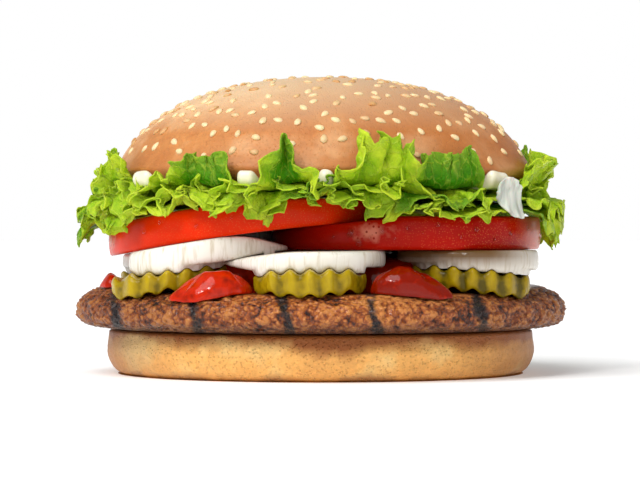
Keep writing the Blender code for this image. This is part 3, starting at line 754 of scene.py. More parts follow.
# Each petal is (bearing, half width, turn of the margin in degrees, length of the margin, and for
# a pointed petal the power of its bump)
UPPER_PETALS = (
    (-67.0, 7.5, 92.0, 12.0, 2.2), (-42.0, 3.6, 52.0, 7.4), (-31.0, 8.0, 88.0, 9.6),
    (-8.6, 5.2, 88.0, 14.4, 1.5), (10.0, 4.2, 97.0, 15.6, 1.8), (18.0, 6.2, 97.0, 13.6, 3.0),
    (34.0, 8.6, 92.0, 10.4, 7.0), (43.0, 3.4, 93.0, 11.8, 1.7), (74.0, 11.0, 70.0, 11.5),
    (103.0, 9.0, 88.0, 11.5), (128.0, 10.0, 84.0, 9.5, 2.0), (150.0, 8.0, 94.0, 14.5, 2.0),
    (172.0, 9.0, 86.0, 10.5), (-166.0, 8.0, 96.0, 15.5, 2.0), (-142.0, 11.0, 84.0, 9.5),
    (-117.0, 9.0, 92.0, 12.5, 1.8), (-93.0, 9.0, 74.0, 9.0),
)
INNER_PETALS = (
    (-58.0, 7.0, 10.0, 8.5), (-31.0, 8.0, -14.0, 5.5), (-19.0, 6.0, 6.0, 8.5), (-3.0, 5.0, -2.0, 8.5),
    (4.0, 4.0, 12.0, 8.0), (14.0, 4.0, -12.0, 9.5), (23.0, 4.0, 30.0, 8.5), (36.0, 7.0, -42.0, 8.5),
    (69.0, 7.0, 30.0, 9.0), (84.0, 6.0, -10.0, 8.5), (110.0, 9.0, 34.0, 9.0), (139.0, 8.0, 0.0, 8.5),
    (161.0, 8.0, 38.0, 8.5), (-176.0, 8.0, 2.0, 8.0), (-154.0, 9.0, 36.0, 9.0), (-130.0, 8.0, 4.0, 8.5),
    (-105.0, 9.0, 32.0, 9.0), (-82.0, 7.0, 8.0, 9.0),
)
LOWER_PETALS = (
    (-88.0, 13.0, -48.0, 10.0), (-58.0, 3.4, -88.0, 8.5), (-25.0, 4.0, -78.0, 6.5),
    (-16.0, 6.0, -86.0, 9.0), (3.0, 6.0, -52.0, 5.0), (14.5, 2.6, -86.0, 8.5), (20.5, 2.4, -84.0, 7.5),
    (72.0, 12.0, -64.0, 8.5), (103.0, 10.0, -72.0, 11.0), (133.0, 9.0, -80.0, 8.0),
    (160.0, 12.0, -86.0, 11.0), (-168.0, 7.0, -78.0, 7.5), (-146.0, 10.0, -86.0, 10.0),
    (-118.0, 8.0, -70.0, 8.0),
)
MIDDLE_PETALS = (
    (-84.0, 10.0, -38.0, 10.0), (-63.0, 7.0, -20.0, 9.5), (-43.0, 7.0, -22.0, 7.5),
    (-26.0, 4.0, -58.0, 7.0), (-16.0, 6.5, -72.0, 9.0), (-3.0, 5.0, -18.0, 8.0), (7.0, 4.0, -32.0, 8.5),
    (14.5, 3.2, -70.0, 8.8), (20.5, 3.0, -64.0, 8.2), (34.0, 8.0, -12.0, 6.0), (72.0, 9.0, -42.0, 11.0),
    (97.0, 9.0, -66.0, 11.0), (121.0, 8.0, -34.0, 9.5), (143.0, 8.0, -70.0, 11.0),
    (166.0, 7.0, -42.0, 10.0), (-172.0, 8.0, -72.0, 11.0), (-150.0, 7.0, -36.0, 9.0),
    (-128.0, 9.0, -68.0, 11.0), (-106.0, 7.0, -40.0, 10.0),
)
# Bearing and half width of the notch in which the pale rib piece stands
RIB_NOTCH = (52.0, 7.5)
# For each leaf: petals, turn and length between them, fold radius, height at the middle and seed
LEAVES = {
    "lower": (LOWER_PETALS, -40.0, 4.6, 0.0, 47.2, 11.0),
    "middle": (MIDDLE_PETALS, -26.0, 7.5, 50.5, 48.0, 23.0),
    "inner": (INNER_PETALS, 16.0, 7.0, 51.0, 48.4, 29.0),
    "upper": (UPPER_PETALS, -16.0, 7.5, 53.2, 48.8, 37.0),
}
LEAF_BEND = 6.0
LEAF_CAP_RADIUS = 28.0
LEAF_CAP_GAP = 40.0
LEAF_MEAN_RADIUS = 60.0
LEAF_COLUMNS = 1120
LEAF_ROWS = 26
# Radius that no leaf passes, and the run over which it is slowed down before that
LEAF_REACH_LIMIT = 65.3
LEAF_LIMIT_RUN = 2.5
# Least fold radius of the leaves that hang over the tomatoes, and their distance from these
HANG_RADIUS = 47.5
HANG_GAP = 1.4
# How far in mm the large and the middle ruffles swing to the side
SWINGS = (1.9, 1.25)
# Reach in mm and scale of the rounds of noise that crumple a leaf
LARGE_WARP = (1.5, 0.19)
SMALL_WARP = (0.75, 0.42)
FINE_WARP = (0.32, 0.95)
# Pitch and depth in mm of the large and the middle ruffles
LARGE_RUFFLE = (13.0, 2.7)
MIDDLE_RUFFLE = (5.2, 1.9)
# Pitch in mm of the lobes and of the teeth on the margin, and the share of its length that they cut
LEAF_LOBES = ((7.5, 0.26), (2.6, 0.2), (1.5, 0.1))
# Bearing and half width of the smooth, dark green parts of each leaf
LEAF_DARK = {
    "lower": ((-88.0, 9.0), (58.0, 6.0), (120.0, 9.0), (-150.0, 12.0)),
    "middle": ((-80.0, 5.0), (-4.0, 4.0), (30.0, 9.0), (121.0, 8.0), (-150.0, 8.0), (170.0, 5.0)),
    "inner": ((0.0, 4.0), (-82.0, 6.0), (139.0, 7.0), (-130.0, 7.0)),
    "upper": ((-31.0, 7.0), (-8.6, 3.6), (34.0, 9.0), (43.0, 3.0), (103.0, 7.0), (-142.0, 9.0),
              (172.0, 6.0)),
}


def petal_blend(petals, bearing, turn, reach):
    """Turn and length of a margin at a bearing, blended from its petals."""
    for centre, half_width, petal_turn, petal_length, *power in petals:
        share = bump(bearing, centre, half_width, *power)
        turn = mix(turn, petal_turn, share)
        reach = mix(reach, petal_length, share)
    return turn, reach


def whole_waves(bearing, pitch):
    """Angle of a ripple that closes round the burger, with about the given pitch in mm."""
    return math.radians(bearing) * round(math.tau * LEAF_MEAN_RADIUS / pitch)


def lobes(bearing, pitch, seed):
    """Rounded lobes round a margin, 1 on them and 0 in the narrow notches between them."""
    phase = 0.5 * whole_waves(bearing, pitch) + 2.6 * wobble(bearing, 45.0 / pitch, seed)
    return math.sqrt(abs(math.sin(phase)))


def tomato_skin_height(m, bearing):
    """Height of the tomatoes' upper edge at a bearing, smoothed where the slices cross."""
    x = tomato_reach(bearing) * math.sin(math.radians(bearing))
    left = tomato_left_heights(m, min(x, 14.0))[1]
    return mix(left, TOMATO_RIGHT_TOP, smoothstep(10.0, 26.0, x))


def leaf_margin(m, leaf, bearing):
    """Everything about a leaf's margin that depends on the bearing alone."""
    petals, turn, reach, fold, lift, seed = LEAVES[leaf]
    turn, reach = petal_blend(petals, bearing, turn, reach)
    skin = tomato_skin_height(m, bearing)
    tomato = tomato_reach(bearing)
    hang = max(tomato + HANG_GAP, HANG_RADIUS)
    height = lift
    if leaf == "middle":
        height = min(0.5 * (skin + lift) + 1.1, lift - 0.4)
        fold = max(fold, hang - 2.0)
    elif leaf == "lower":
        height = min(skin + 0.9, lift - 0.4)
        fold = hang
    elif leaf == "inner":
        below = min(0.5 * (skin + lift) + 0.9, lift)
        swaying = math.sin(whole_waves(bearing, 9.5) + 3.0 * wobble(bearing, 4.0, 19.0))
        height = mix(below, lift, 0.5 + 0.5 * swaying)
    height += 0.55 + 1.5 * wobble(bearing, 6.0, 17.0)
    notch = bump(bearing, *RIB_NOTCH)
    cut = sum(share * (1.0 - lobes(bearing, pitch, seed + pitch)) for pitch, share in LEAF_LOBES)
    smooth = max(bump(bearing, *each) for each in LEAF_DARK[leaf])
    calm = (1.0 - 0.85 * notch) * (1.0 - 0.5 * smooth)
    return SimpleNamespace(
        seed=seed, fold=fold, height=height,
        turn=math.radians(turn + 9.0 * wobble(bearing, 14.0, seed + 8.0)),
        skin=skin, tomato=tomato, calm=calm, dark=smooth,
        reach=mix(reach * (1.0 + 0.22 * wobble(bearing, 8.0, seed + 5.0)), 2.0, notch),
        cut=cut * (1.0 - 0.6 * smooth),
        phase=whole_waves(bearing, LARGE_RUFFLE[0]) + 3.4 * wobble(bearing, 2.6, seed + 2.0),
        quick=whole_waves(bearing, MIDDLE_RUFFLE[0]) + 5.0 * wobble(bearing, 7.0, seed + 3.0),
        depth=LARGE_RUFFLE[1] * (0.85 + 0.8 * wobble(bearing, 4.5, seed + 4.0)),
        quick_depth=MIDDLE_RUFFLE[1] * (0.85 + 0.9 * wobble(bearing, 9.0, seed + 6.0)))


def clear_radius(m, bearing, level, margin):
    """Smallest radius that keeps a leaf outside the crown above and the tomatoes below."""
    needed = 0.0
    if level > CROWN_UNDERSIDE:
        if level < m.crown_waist:
            sunk = (m.crown_waist - level) / (m.crown_waist - CROWN_UNDERSIDE)
            needed = m.crown_radius - CROWN_EDGE_RUN * (1.0 - math.sqrt(1.0 - sunk * sunk))
        else:
            share = min((level - m.crown_waist) / (m.crown_top - m.crown_waist), 1.0)
            needed = crown_radius(m, share)
        needed += CROWN_OFFSET.x * math.sin(math.radians(bearing)) + 0.7
    elif level < margin.skin + 0.6:
        needed = (margin.tomato + 0.6) * smoothstep(margin.skin + 0.6, margin.skin - 0.4, level)
    return needed


def leaf_point(m, bearing, share, margin):
    """Point of a ruffled leaf; share runs from 0 at the fold to 1 at the margin."""
    turn = margin.turn if abs(margin.turn) > 0.02 else 0.02
    run = margin.reach * (1.12 - margin.cut * smoothstep(0.35, 1.0, share)) * share
    curved = min(run, LEAF_BEND)
    angle = turn * curved / LEAF_BEND
    out = LEAF_BEND / turn * math.sin(angle) + (run - curved) * math.cos(angle)
    rise = LEAF_BEND / turn * (1.0 - math.cos(angle)) + (run - curved) * math.sin(angle)
    frill = smoothstep(0.0, 1.2, share) * margin.calm
    wave = margin.depth * frill * math.sin(margin.phase + 0.7 * share)
    wave += margin.quick_depth * frill * (0.3 + 0.7 * share) * math.sin(margin.quick + 1.6 * share)
    out -= wave * math.sin(angle)
    rise += wave * math.cos(angle)
    swing = SWINGS[0] * math.sin(2.0 * margin.phase + 0.6) + SWINGS[1] * math.sin(2.0 * margin.quick + share)
    swing = frill * swing
    radius = margin.fold + out
    point = at_bearing(bearing + math.degrees(swing / radius), radius, margin.height + rise)
    shift = Vector((margin.seed, 0.0, 0.0))
    warp = LARGE_WARP[0] * frill * noise.noise_vector((point + shift) * LARGE_WARP[1])
    warp += SMALL_WARP[0] * (0.15 + 0.85 * frill) * noise.noise_vector((point - shift) * SMALL_WARP[1])
    point += warp + FINE_WARP[0] * noise.noise_vector(point * FINE_WARP[1])
    radius = math.hypot(point.x, point.y)
    turned = math.degrees(math.atan2(point.x, -point.y))
    wanted = max(radius, clear_radius(m, turned, point.z, margin))
    soft = LEAF_REACH_LIMIT - LEAF_LIMIT_RUN
    if wanted > soft:
        wanted = soft + LEAF_LIMIT_RUN * math.tanh((wanted - soft) / LEAF_LIMIT_RUN)
    return Vector((point.x * wanted / radius, point.y * wanted / radius, point.z))


def leaf_shape(m, leaf):
    """A leaf: a flat middle from which rows of edges are pulled out to the frilled margin."""
    shape = bmesh.new()
    where = shape.verts.layers.float.new("where")
    edge_gap = shape.verts.layers.float.new("edge_gap")
    tone = shape.verts.layers.float.new("tone")
    bmesh.ops.create_circle(shape, cap_ends=True, segments=LEAF_COLUMNS, radius=LEAF_CAP_RADIUS)
    margins = {}
    for vert in shape.verts:
        vert.co.z = LEAVES[leaf][4]
        vert[where] = math.degrees(math.atan2(vert.co.x, -vert.co.y))
        vert[edge_gap] = LEAF_CAP_GAP
        margins[round(vert[where], 3)] = leaf_margin(m, leaf, vert[where])
    rim = list(shape.edges)
    for row in range(LEAF_ROWS):
        share = row / (LEAF_ROWS - 1)
        pulled = bmesh.ops.extrude_edge_only(shape, edges=rim)["geom"]
        rim = [part for part in pulled if isinstance(part, bmesh.types.BMEdge) and part.is_boundary]
        for vert in pulled:
            if isinstance(vert, bmesh.types.BMVert):
                margin = margins[round(vert[where], 3)]
                vert.co = leaf_point(m, vert[where], share, margin)
                vert[edge_gap] = (1.0 - share) * margin.reach
                vert[tone] = margin.dark
    chart = shape.loops.layers.uv.new("leaf")
    for face in shape.faces:
        turns = [loop.vert[where] for loop in face.loops]
        across = max(turns) - min(turns) > 180.0
        for loop in face.loops:
            turn = loop.vert[where] + (360.0 if across and loop.vert[where] < 0.0 else 0.0)
            loop[chart].uv = (math.radians(turn) * LEAF_MEAN_RADIUS, loop.vert[edge_gap])
    return shape


# Rib piece: half its width and height, how far it leans, and the radius and height of its middle
RIB_HALF_WIDTH = 5.6
RIB_HALF_HEIGHT = 5.0
RIB_LEAN = 0.34
RIB_RADIUS = 62.0
RIB_MIDDLE = 46.4


def rib_shape():
    """Pale, curved piece of the lettuce heart that stands in the leaves' notch."""

    def place(bearing, reach, level):
        turn = math.radians(bearing)
        ragged = 1.0 + 0.16 * wobble(bearing, 1.4, 4.0) + 0.05 * wobble(bearing, 5.0, 8.0)
        across = RIB_HALF_WIDTH * reach * ragged * math.sin(turn)
        upright = RIB_HALF_HEIGHT * reach * ragged * math.cos(turn)
        across -= RIB_LEAN * upright
        outward = RIB_RADIUS + 0.9 * (level - 0.5) + 0.045 * upright * upright - 0.03 * across * across
        uneven = 0.5 * noise.noise(Vector((across, upright, 2.0)) * 0.5)
        outward += (0.3 * math.sin(across * 2.1) + uneven) * reach
        return at_bearing(RIB_NOTCH[0] + math.degrees(across / outward), outward, RIB_MIDDLE + upright)

    edge = ((0.95, 0.95), (0.985, 0.8), (1.0, 0.5), (0.985, 0.2), (0.95, 0.05))
    return wrapped(120, disc_path(0.9, 16, 16, edge), place)


# Mayonnaise

MAYO_BOTTOM = 49.05
MAYO_RADIUS = 49.0
MAYO_LOBE_REACH = 58.9
MAYO_LOBE_TOP = 53.9
# Turns of the leaf above, in degrees, between which it hides a lobe, and the radii between which a
# lobe swells to its full height
MAYO_HIDDEN = (8.0, 34.0)
MAYO_SWELL = (54.6, 58.2)
# Bearing and half width of each place where it squeezes out
MAYO_LOBES = (
    (-53.0, 5.0), (-18.5, 4.5), (-0.5, 5.5), (52.0, 6.0), (89.0, 6.0), (115.0, 5.0),
    (139.0, 6.0), (-153.0, 6.0), (-129.0, 5.0), (-105.0, 5.0),
)


def mayo_shape(m):
    """A thin layer under the crown that swells out round its edge in lobes."""

    def place(bearing, reach, level):
        turn = petal_blend(UPPER_PETALS, bearing, 0.0, 0.0)[0]
        lobe = math.sin(0.5 * math.pi * max(bump(bearing, *each, 3.0) for each in MAYO_LOBES))
        lobe *= 1.0 - smoothstep(*MAYO_HIDDEN, turn)
        radius = mix(MAYO_RADIUS, MAYO_LOBE_REACH, lobe) * reach
        ceiling = crown_under(m, min(radius, m.crown_radius - 0.4) - 2.4) - 0.3
        plump = MAYO_LOBE_TOP + 0.9 * wobble(bearing, 9.0, 6.0)
        ceiling = mix(ceiling, plump, lobe * smoothstep(*MAYO_SWELL, radius))
        return at_bearing(bearing, radius, mix(MAYO_BOTTOM - 0.5 * lobe, ceiling, level))

    path = [(0.0, 1.0), (0.5, 1.0), (0.85, 1.0), (0.9, 1.0), (0.93, 1.0), (0.955, 1.0), (0.975, 0.95)]
    path += [(0.984, 0.88), (0.991, 0.8), (0.997, 0.7), (1.0, 0.55), (0.998, 0.38), (0.99, 0.2)]
    path += [(0.975, 0.07), (0.95, 0.0), (0.8, 0.0), (0.0, 0.0)]
    return wrapped(720, path, place)


# Materials

# Inputs that go by their number: those of a colour Mix and those of a Map Range
SHARE, UNDER, OVER = 0, 6, 7
FROM_LOW, FROM_HIGH, TO_LOW, TO_HIGH = 1, 2, 3, 4
# Output of a Mix that holds its colour
MIXED_COLOUR = 2


def opaque(tint):
    """A colour with full alpha."""
    return (*tint[:3], 1.0)


def connect(tree, node, inputs):
    """Give a node's inputs constants, output sockets or other nodes, which link by their result."""
    for key, value in inputs.items():
        socket = node.inputs[key]
        if isinstance(value, bpy.types.Node):
            value = value.outputs[MIXED_COLOUR if getattr(value, "data_type", "") == "RGBA" else 0]
        if isinstance(value, bpy.types.NodeSocket):
            tree.links.new(value, socket)
        else:
            socket.default_value = opaque(value) if socket.type == "RGBA" else value


def add(tree, kind, inputs=None, stops=(), **settings):
    """Add a shader node with its settings, its inputs and the stops of a ramp."""
    made = tree.nodes.new(f"ShaderNode{kind}")
    for key, value in settings.items():
        setattr(made, key, value)
    connect(tree, made, inputs or {})
    for number, (place, tint) in enumerate(stops):
        ramp = made.color_ramp.elements
        element = ramp[number] if number < 2 else ramp.new(place)
        element.position = place
        element.color = opaque(tint)
    return made


def open_material(name):
    """Material with a Principled shader; returns it, its tree, the shader and a place in mm."""
    made = bpy.data.materials.new(name)
    made.use_nodes = True
    tree = made.node_tree
    shader = tree.nodes["Principled BSDF"]
    spot = add(tree, "TexCoord").outputs["Object"]
    spot = add(tree, "Mapping", {"Vector": spot, "Scale": (1.0 / MM,) * 3})
    return made, tree, shader, spot


def grey(value):
    """A grey colour."""
    return (value, value, value)


def dimmed(tint, share):
    """A colour with each part cut to a share of it."""
    return tuple(part * share for part in tint)


def crust_material(name, tints, low, high, edge, sides, crest, pore_depth, pore_tint, blotch, waver, right):
    """Baked bun crust: satin, mottled by the oven, with fine pores.

    edge darkens bands of its height, sides is how strongly painted shade darkens its two ends and crest
    how strongly painted light pales its top. pore_tint is how dark the pores are, blotch how dark the
    mottling, waver how far the bands wander in mm and right how strongly painted shade darkens it
    towards +X.
    """
    light, middle, dark, palest = tints
    mottle = tuple(mix(part, deep, blotch) for part, deep in zip(middle, dark))
    made, tree, shader, spot = open_material(name)
    broad = add(tree, "TexNoise", {"Vector": spot, "Scale": 0.06, "Detail": 3.0, "Roughness": 0.55})
    base = add(tree, "ValToRGB", {"Fac": broad}, stops=((0.32, light), (0.52, middle), (0.8, mottle)))
    fine = add(tree, "TexNoise", {"Vector": spot, "Scale": 0.7, "Detail": 6.0, "Roughness": 0.7})
    speckle = add(tree, "ValToRGB", {"Fac": fine}, stops=((0.3, grey(0.82)), (0.7, grey(1.1))))
    toned = add(tree, "Mix", {SHARE: 1.0, UNDER: base, OVER: speckle},
                data_type="RGBA", blend_type="MULTIPLY")
    place = add(tree, "SeparateXYZ", {"Vector": spot})
    wavy = add(tree, "Math", {0: broad, 1: waver, 2: -0.5 * waver}, operation="MULTIPLY_ADD")
    height = add(tree, "Math", {0: place.outputs["Z"], 1: wavy}, operation="ADD")
    share = add(tree, "MapRange", {"Value": height, FROM_LOW: low, FROM_HIGH: high})
    band = add(tree, "ValToRGB", {"Fac": share}, stops=edge)
    # Painted shade: the crust darkens towards both ends along X, where the light falls off
    far = add(tree, "Math", {0: place.outputs["X"]}, operation="ABSOLUTE")
    end = add(tree, "MapRange", {"Value": far, FROM_LOW: 34.0, FROM_HIGH: 58.0, TO_HIGH: sides})
    outer = add(tree, "Math", {0: band, 1: end}, operation="MAXIMUM")
    # Painted shade: the crust darkens towards +X, the side away from the light
    turned = add(tree, "MapRange", {"Value": place.outputs["X"], FROM_LOW: -40.0, FROM_HIGH: 25.0,
                                    TO_HIGH: right})
    # browned: real browning of the bands together with the painted shade on the ends and towards +X
    browned = add(tree, "Math", {0: outer, 1: turned}, operation="MAXIMUM")
    # Painted light: the upper part of the height is paled towards the top light colour
    top = add(tree, "MapRange", {"Value": height, FROM_LOW: mix(low, high, 0.45), FROM_HIGH: high,
                                 TO_HIGH: crest})
    paler = add(tree, "Mix", {SHARE: top, UNDER: toned, OVER: palest}, data_type="RGBA")
    baked = add(tree, "Mix", {SHARE: browned, UNDER: paler, OVER: dark}, data_type="RGBA")
    pore = add(tree, "TexVoronoi", {"Vector": spot, "Scale": 1.25, "Randomness": 1.0})
    pits = add(tree, "ValToRGB", {"Fac": pore.outputs["Distance"]},
               stops=((0.1, grey(0.0)), (0.35, grey(1.0))))
    pored = add(tree, "Mix", {SHARE: pore_tint, UNDER: baked, OVER: pits},
                data_type="RGBA", blend_type="MULTIPLY")
    relief = add(tree, "Math", {0: pits, 1: fine}, operation="ADD")
    dent = add(tree, "Bump", {"Height": relief, "Strength": 0.6, "Distance": pore_depth})
    connect(tree, shader, {"Base Color": pored, "Roughness": 0.46, "IOR": 1.45,
                           "Specular IOR Level": 0.35, "Coat Weight": 0.08, "Coat Roughness": 0.3,
                           "Subsurface Weight": 0.12, "Subsurface Radius": (1.0, 0.5, 0.25),
                           "Subsurface Scale": 0.0015, "Normal": dent})
    return made


def sesame_material(c):
    """Hulled sesame: cream, faintly glossy, toasted at the tip."""
    made, tree, shader, spot = open_material("hulled_sesame")
    tone = add(tree, "Attribute", attribute_name="tone").outputs["Fac"]
    tint = add(tree, "ValToRGB", {"Fac": tone}, stops=((0.1, c.sesame), (0.9, c.sesame_toasted)))
    grain = add(tree, "TexNoise", {"Vector": spot, "Scale": 2.2, "Detail": 2.0})
    dent = add(tree, "Bump", {"Height": grain, "Strength": 0.3, "Distance": 0.0001})
    connect(tree, shader, {"Base Color": tint, "Roughness": 0.38, "IOR": 1.46,
                           "Subsurface Weight": 0.2, "Subsurface Scale": 0.001, "Normal": dent})
    return made


def beef_material(c):
    """Flame grilled ground beef: dark greasy crevices, browned granules, near black stripes; painted light
    on the raised granules and painted shade deepening the crevices, the ends and the lower rim.
    """
    made, tree, shader, spot = open_material("flame_grilled_beef")
    broad = add(tree, "TexNoise", {"Vector": spot, "Scale": 0.12, "Detail": 4.0, "Roughness": 0.6})
    drift = add(tree, "TexNoise", {"Vector": spot, "Scale": 0.7, "Detail": 2.0})
    bent = add(tree, "VectorMath", {0: spot, 1: drift.outputs["Color"]}, operation="ADD")
    grain = add(tree, "TexVoronoi", {"Vector": bent, "Scale": 0.8})
    each = add(tree, "SeparateXYZ", {"Vector": grain.outputs["Color"]})
    small = add(tree, "TexNoise", {"Vector": spot, "Scale": 1.3, "Detail": 5.0, "Roughness": 0.75})
    own = add(tree, "Math", {0: each.outputs["X"], 1: 0.2}, operation="MULTIPLY")
    lifted = add(tree, "Math", {0: own, 1: broad}, operation="ADD")
    mottled = add(tree, "Math", {0: lifted, 1: small}, operation="ADD")
    crack = add(tree, "Math", {0: grain.outputs["Distance"], 1: 0.45}, operation="MULTIPLY")
    sunk = add(tree, "Math", {0: mottled, 1: crack}, operation="SUBTRACT")
    pit = add(tree, "Attribute", attribute_name="hollow").outputs["Fac"]
    # Painted light and shade: raised granules drawn lighter, deep crevices drawn darker
    raised = add(tree, "MapRange", {"Value": pit, FROM_LOW: 0.5, FROM_HIGH: 2.0,
                                    TO_LOW: 0.16, TO_HIGH: -0.26})
    shaded = add(tree, "Math", {0: sunk, 1: raised}, operation="ADD")
    tint = add(tree, "ValToRGB", {"Fac": shaded},
               stops=((0.46, c.beef_dark), (0.73, c.beef_mid), (0.95, c.beef_light)))
    across = add(tree, "SeparateXYZ", {"Vector": spot})
    # Painted shade: the patty darkens towards both ends along X and towards its lower rim
    far = add(tree, "Math", {0: across.outputs["X"]}, operation="ABSOLUTE")
    ends = add(tree, "MapRange", {"Value": far, FROM_LOW: 18.0, FROM_HIGH: 46.0, TO_HIGH: 0.32})
    low = add(tree, "MapRange", {"Value": across.outputs["Z"], FROM_LOW: 12.5, FROM_HIGH: 16.0,
                                 TO_LOW: 0.8, TO_HIGH: 0.0})
    both = add(tree, "Math", {0: ends, 1: low}, operation="MAXIMUM")
    dim = add(tree, "Mix", {SHARE: both, UNDER: tint, OVER: c.beef_dark}, data_type="RGBA")
    tone = add(tree, "Attribute", attribute_name="tone").outputs["Fac"]
    patchy = add(tree, "MapRange", {"Value": small, FROM_LOW: 0.36, FROM_HIGH: 0.52,
                                    TO_LOW: 0.72, TO_HIGH: 1.0})
    scorch = add(tree, "Math", {0: tone, 1: patchy}, operation="MULTIPLY")
    burnt = add(tree, "Mix", {SHARE: scorch, UNDER: dim, OVER: c.char}, data_type="RGBA")
    wet = add(tree, "ValToRGB", {"Fac": small}, stops=((0.4, grey(0.6)), (0.58, grey(0.16))))
    dent = add(tree, "Bump", {"Height": sunk, "Strength": 1.0, "Distance": 0.0013})
    connect(tree, shader, {"Base Color": burnt, "Roughness": wet, "IOR": 1.47,
                           "Specular IOR Level": 0.5, "Coat Weight": 0.3, "Coat Roughness": 0.16,
                           "Normal": dent})
    return made


def pickle_material(c):
    """Brined pickle: olive green flesh with paler crests, wet and slightly see-through, darkened towards +X
    by painted shade.
    """
    made, tree, shader, spot = open_material("brined_pickle")
    tone = add(tree, "Attribute", attribute_name="tone").outputs["Fac"]
    cloud = add(tree, "TexNoise", {"Vector": spot, "Scale": 0.45, "Detail": 4.0})
    part = add(tree, "Math", {0: tone, 1: 0.34, 2: 0.2}, operation="MULTIPLY_ADD")
    summed = add(tree, "Math", {0: cloud, 1: 0.6, 2: part}, operation="MULTIPLY_ADD")
    across = add(tree, "SeparateXYZ", {"Vector": spot}).outputs["X"]
    # Painted shade: the pickles darken towards +X, the side away from the light
    older = add(tree, "MapRange", {"Value": across, FROM_LOW: 8.0, FROM_HIGH: 40.0, TO_HIGH: 0.16})
    aged = add(tree, "Math", {0: summed, 1: older}, operation="SUBTRACT")
    tint = add(tree, "ValToRGB", {"Fac": aged},
               stops=((0.36, c.pickle_rind), (0.6, c.pickle_flesh), (0.92, c.pickle_pale)))
    dent = add(tree, "Bump", {"Height": cloud, "Strength": 0.4, "Distance": 0.0003})
    connect(tree, shader, {"Base Color": tint, "Roughness": 0.24, "IOR": 1.38,
                           "Specular IOR Level": 0.3, "Subsurface Weight": 0.25,
                           "Subsurface Radius": (1.0, 0.8, 0.1), "Subsurface Scale": 0.002,
                           "Normal": dent})
    return made


def ketchup_material(c):
    """Ketchup: smooth, thick and shiny, darkened towards +X by painted shade."""
    made, tree, shader, spot = open_material("tomato_ketchup")
    cloud = add(tree, "TexNoise", {"Vector": spot, "Scale": 0.4, "Detail": 3.0})
    darker = dimmed(c.ketchup, 0.4)
    across = add(tree, "SeparateXYZ", {"Vector": spot}).outputs["X"]
    # Painted shade: thick darkens the ketchup towards +X, the side away from the light
    thick = add(tree, "MapRange", {"Value": across, FROM_LOW: -12.0, FROM_HIGH: 10.0, TO_HIGH: 0.32})
    depth = add(tree, "Math", {0: cloud, 1: thick}, operation="SUBTRACT")
    tint = add(tree, "ValToRGB", {"Fac": depth}, stops=((0.25, darker), (0.55, c.ketchup)))
    dent = add(tree, "Bump", {"Height": cloud, "Strength": 0.6, "Distance": 0.00025})
    connect(tree, shader, {"Base Color": tint, "Roughness": 0.12, "IOR": 1.42,
                           "Specular IOR Level": 0.3, "Subsurface Weight": 0.15,
                           "Subsurface Radius": (1.0, 0.2, 0.1), "Subsurface Scale": 0.001,
                           "Normal": dent})
    return made


def onion_material(c):
    """Raw onion: white juicy flesh with fibres that run up the rim, and painted shade at the burger's right
    under the tomato, strongest near its top.
    """
    made, tree, shader, spot = open_material("raw_white_onion")
    stretched = add(tree, "Mapping", {"Vector": spot, "Scale": (1.0, 1.0, 0.12)})
    fibre = add(tree, "TexNoise", {"Vector": stretched, "Scale": 1.1, "Detail": 4.0})
    tint = add(tree, "ValToRGB", {"Fac": fibre}, stops=((0.3, c.onion_vein), (0.5, c.onion)))
    tone = add(tree, "Attribute", attribute_name="tone").outputs["Fac"]
    above = add(tree, "SeparateXYZ", {"Vector": spot}).outputs["Z"]
    # Painted shade grows towards the onion's top, nearest the tomato above
    upper = add(tree, "MapRange", {"Value": above, FROM_LOW: 28.4, FROM_HIGH: 31.4,
                                   TO_LOW: 0.35, TO_HIGH: 1.0})
    soaked = add(tree, "Math", {0: tone, 1: upper}, operation="MULTIPLY")
    tint = add(tree, "Mix", {SHARE: soaked, UNDER: tint, OVER: c.onion_juice}, data_type="RGBA")
    dent = add(tree, "Bump", {"Height": fibre, "Strength": 0.35, "Distance": 0.0003})
    connect(tree, shader, {"Base Color": tint, "Roughness": 0.25, "IOR": 1.38,
                           "Subsurface Weight": 0.35, "Subsurface Radius": (1.0, 0.95, 0.85),
                           "Subsurface Scale": 0.003, "Coat Weight": 0.15, "Coat Roughness": 0.1,
                           "Normal": dent})
    return made


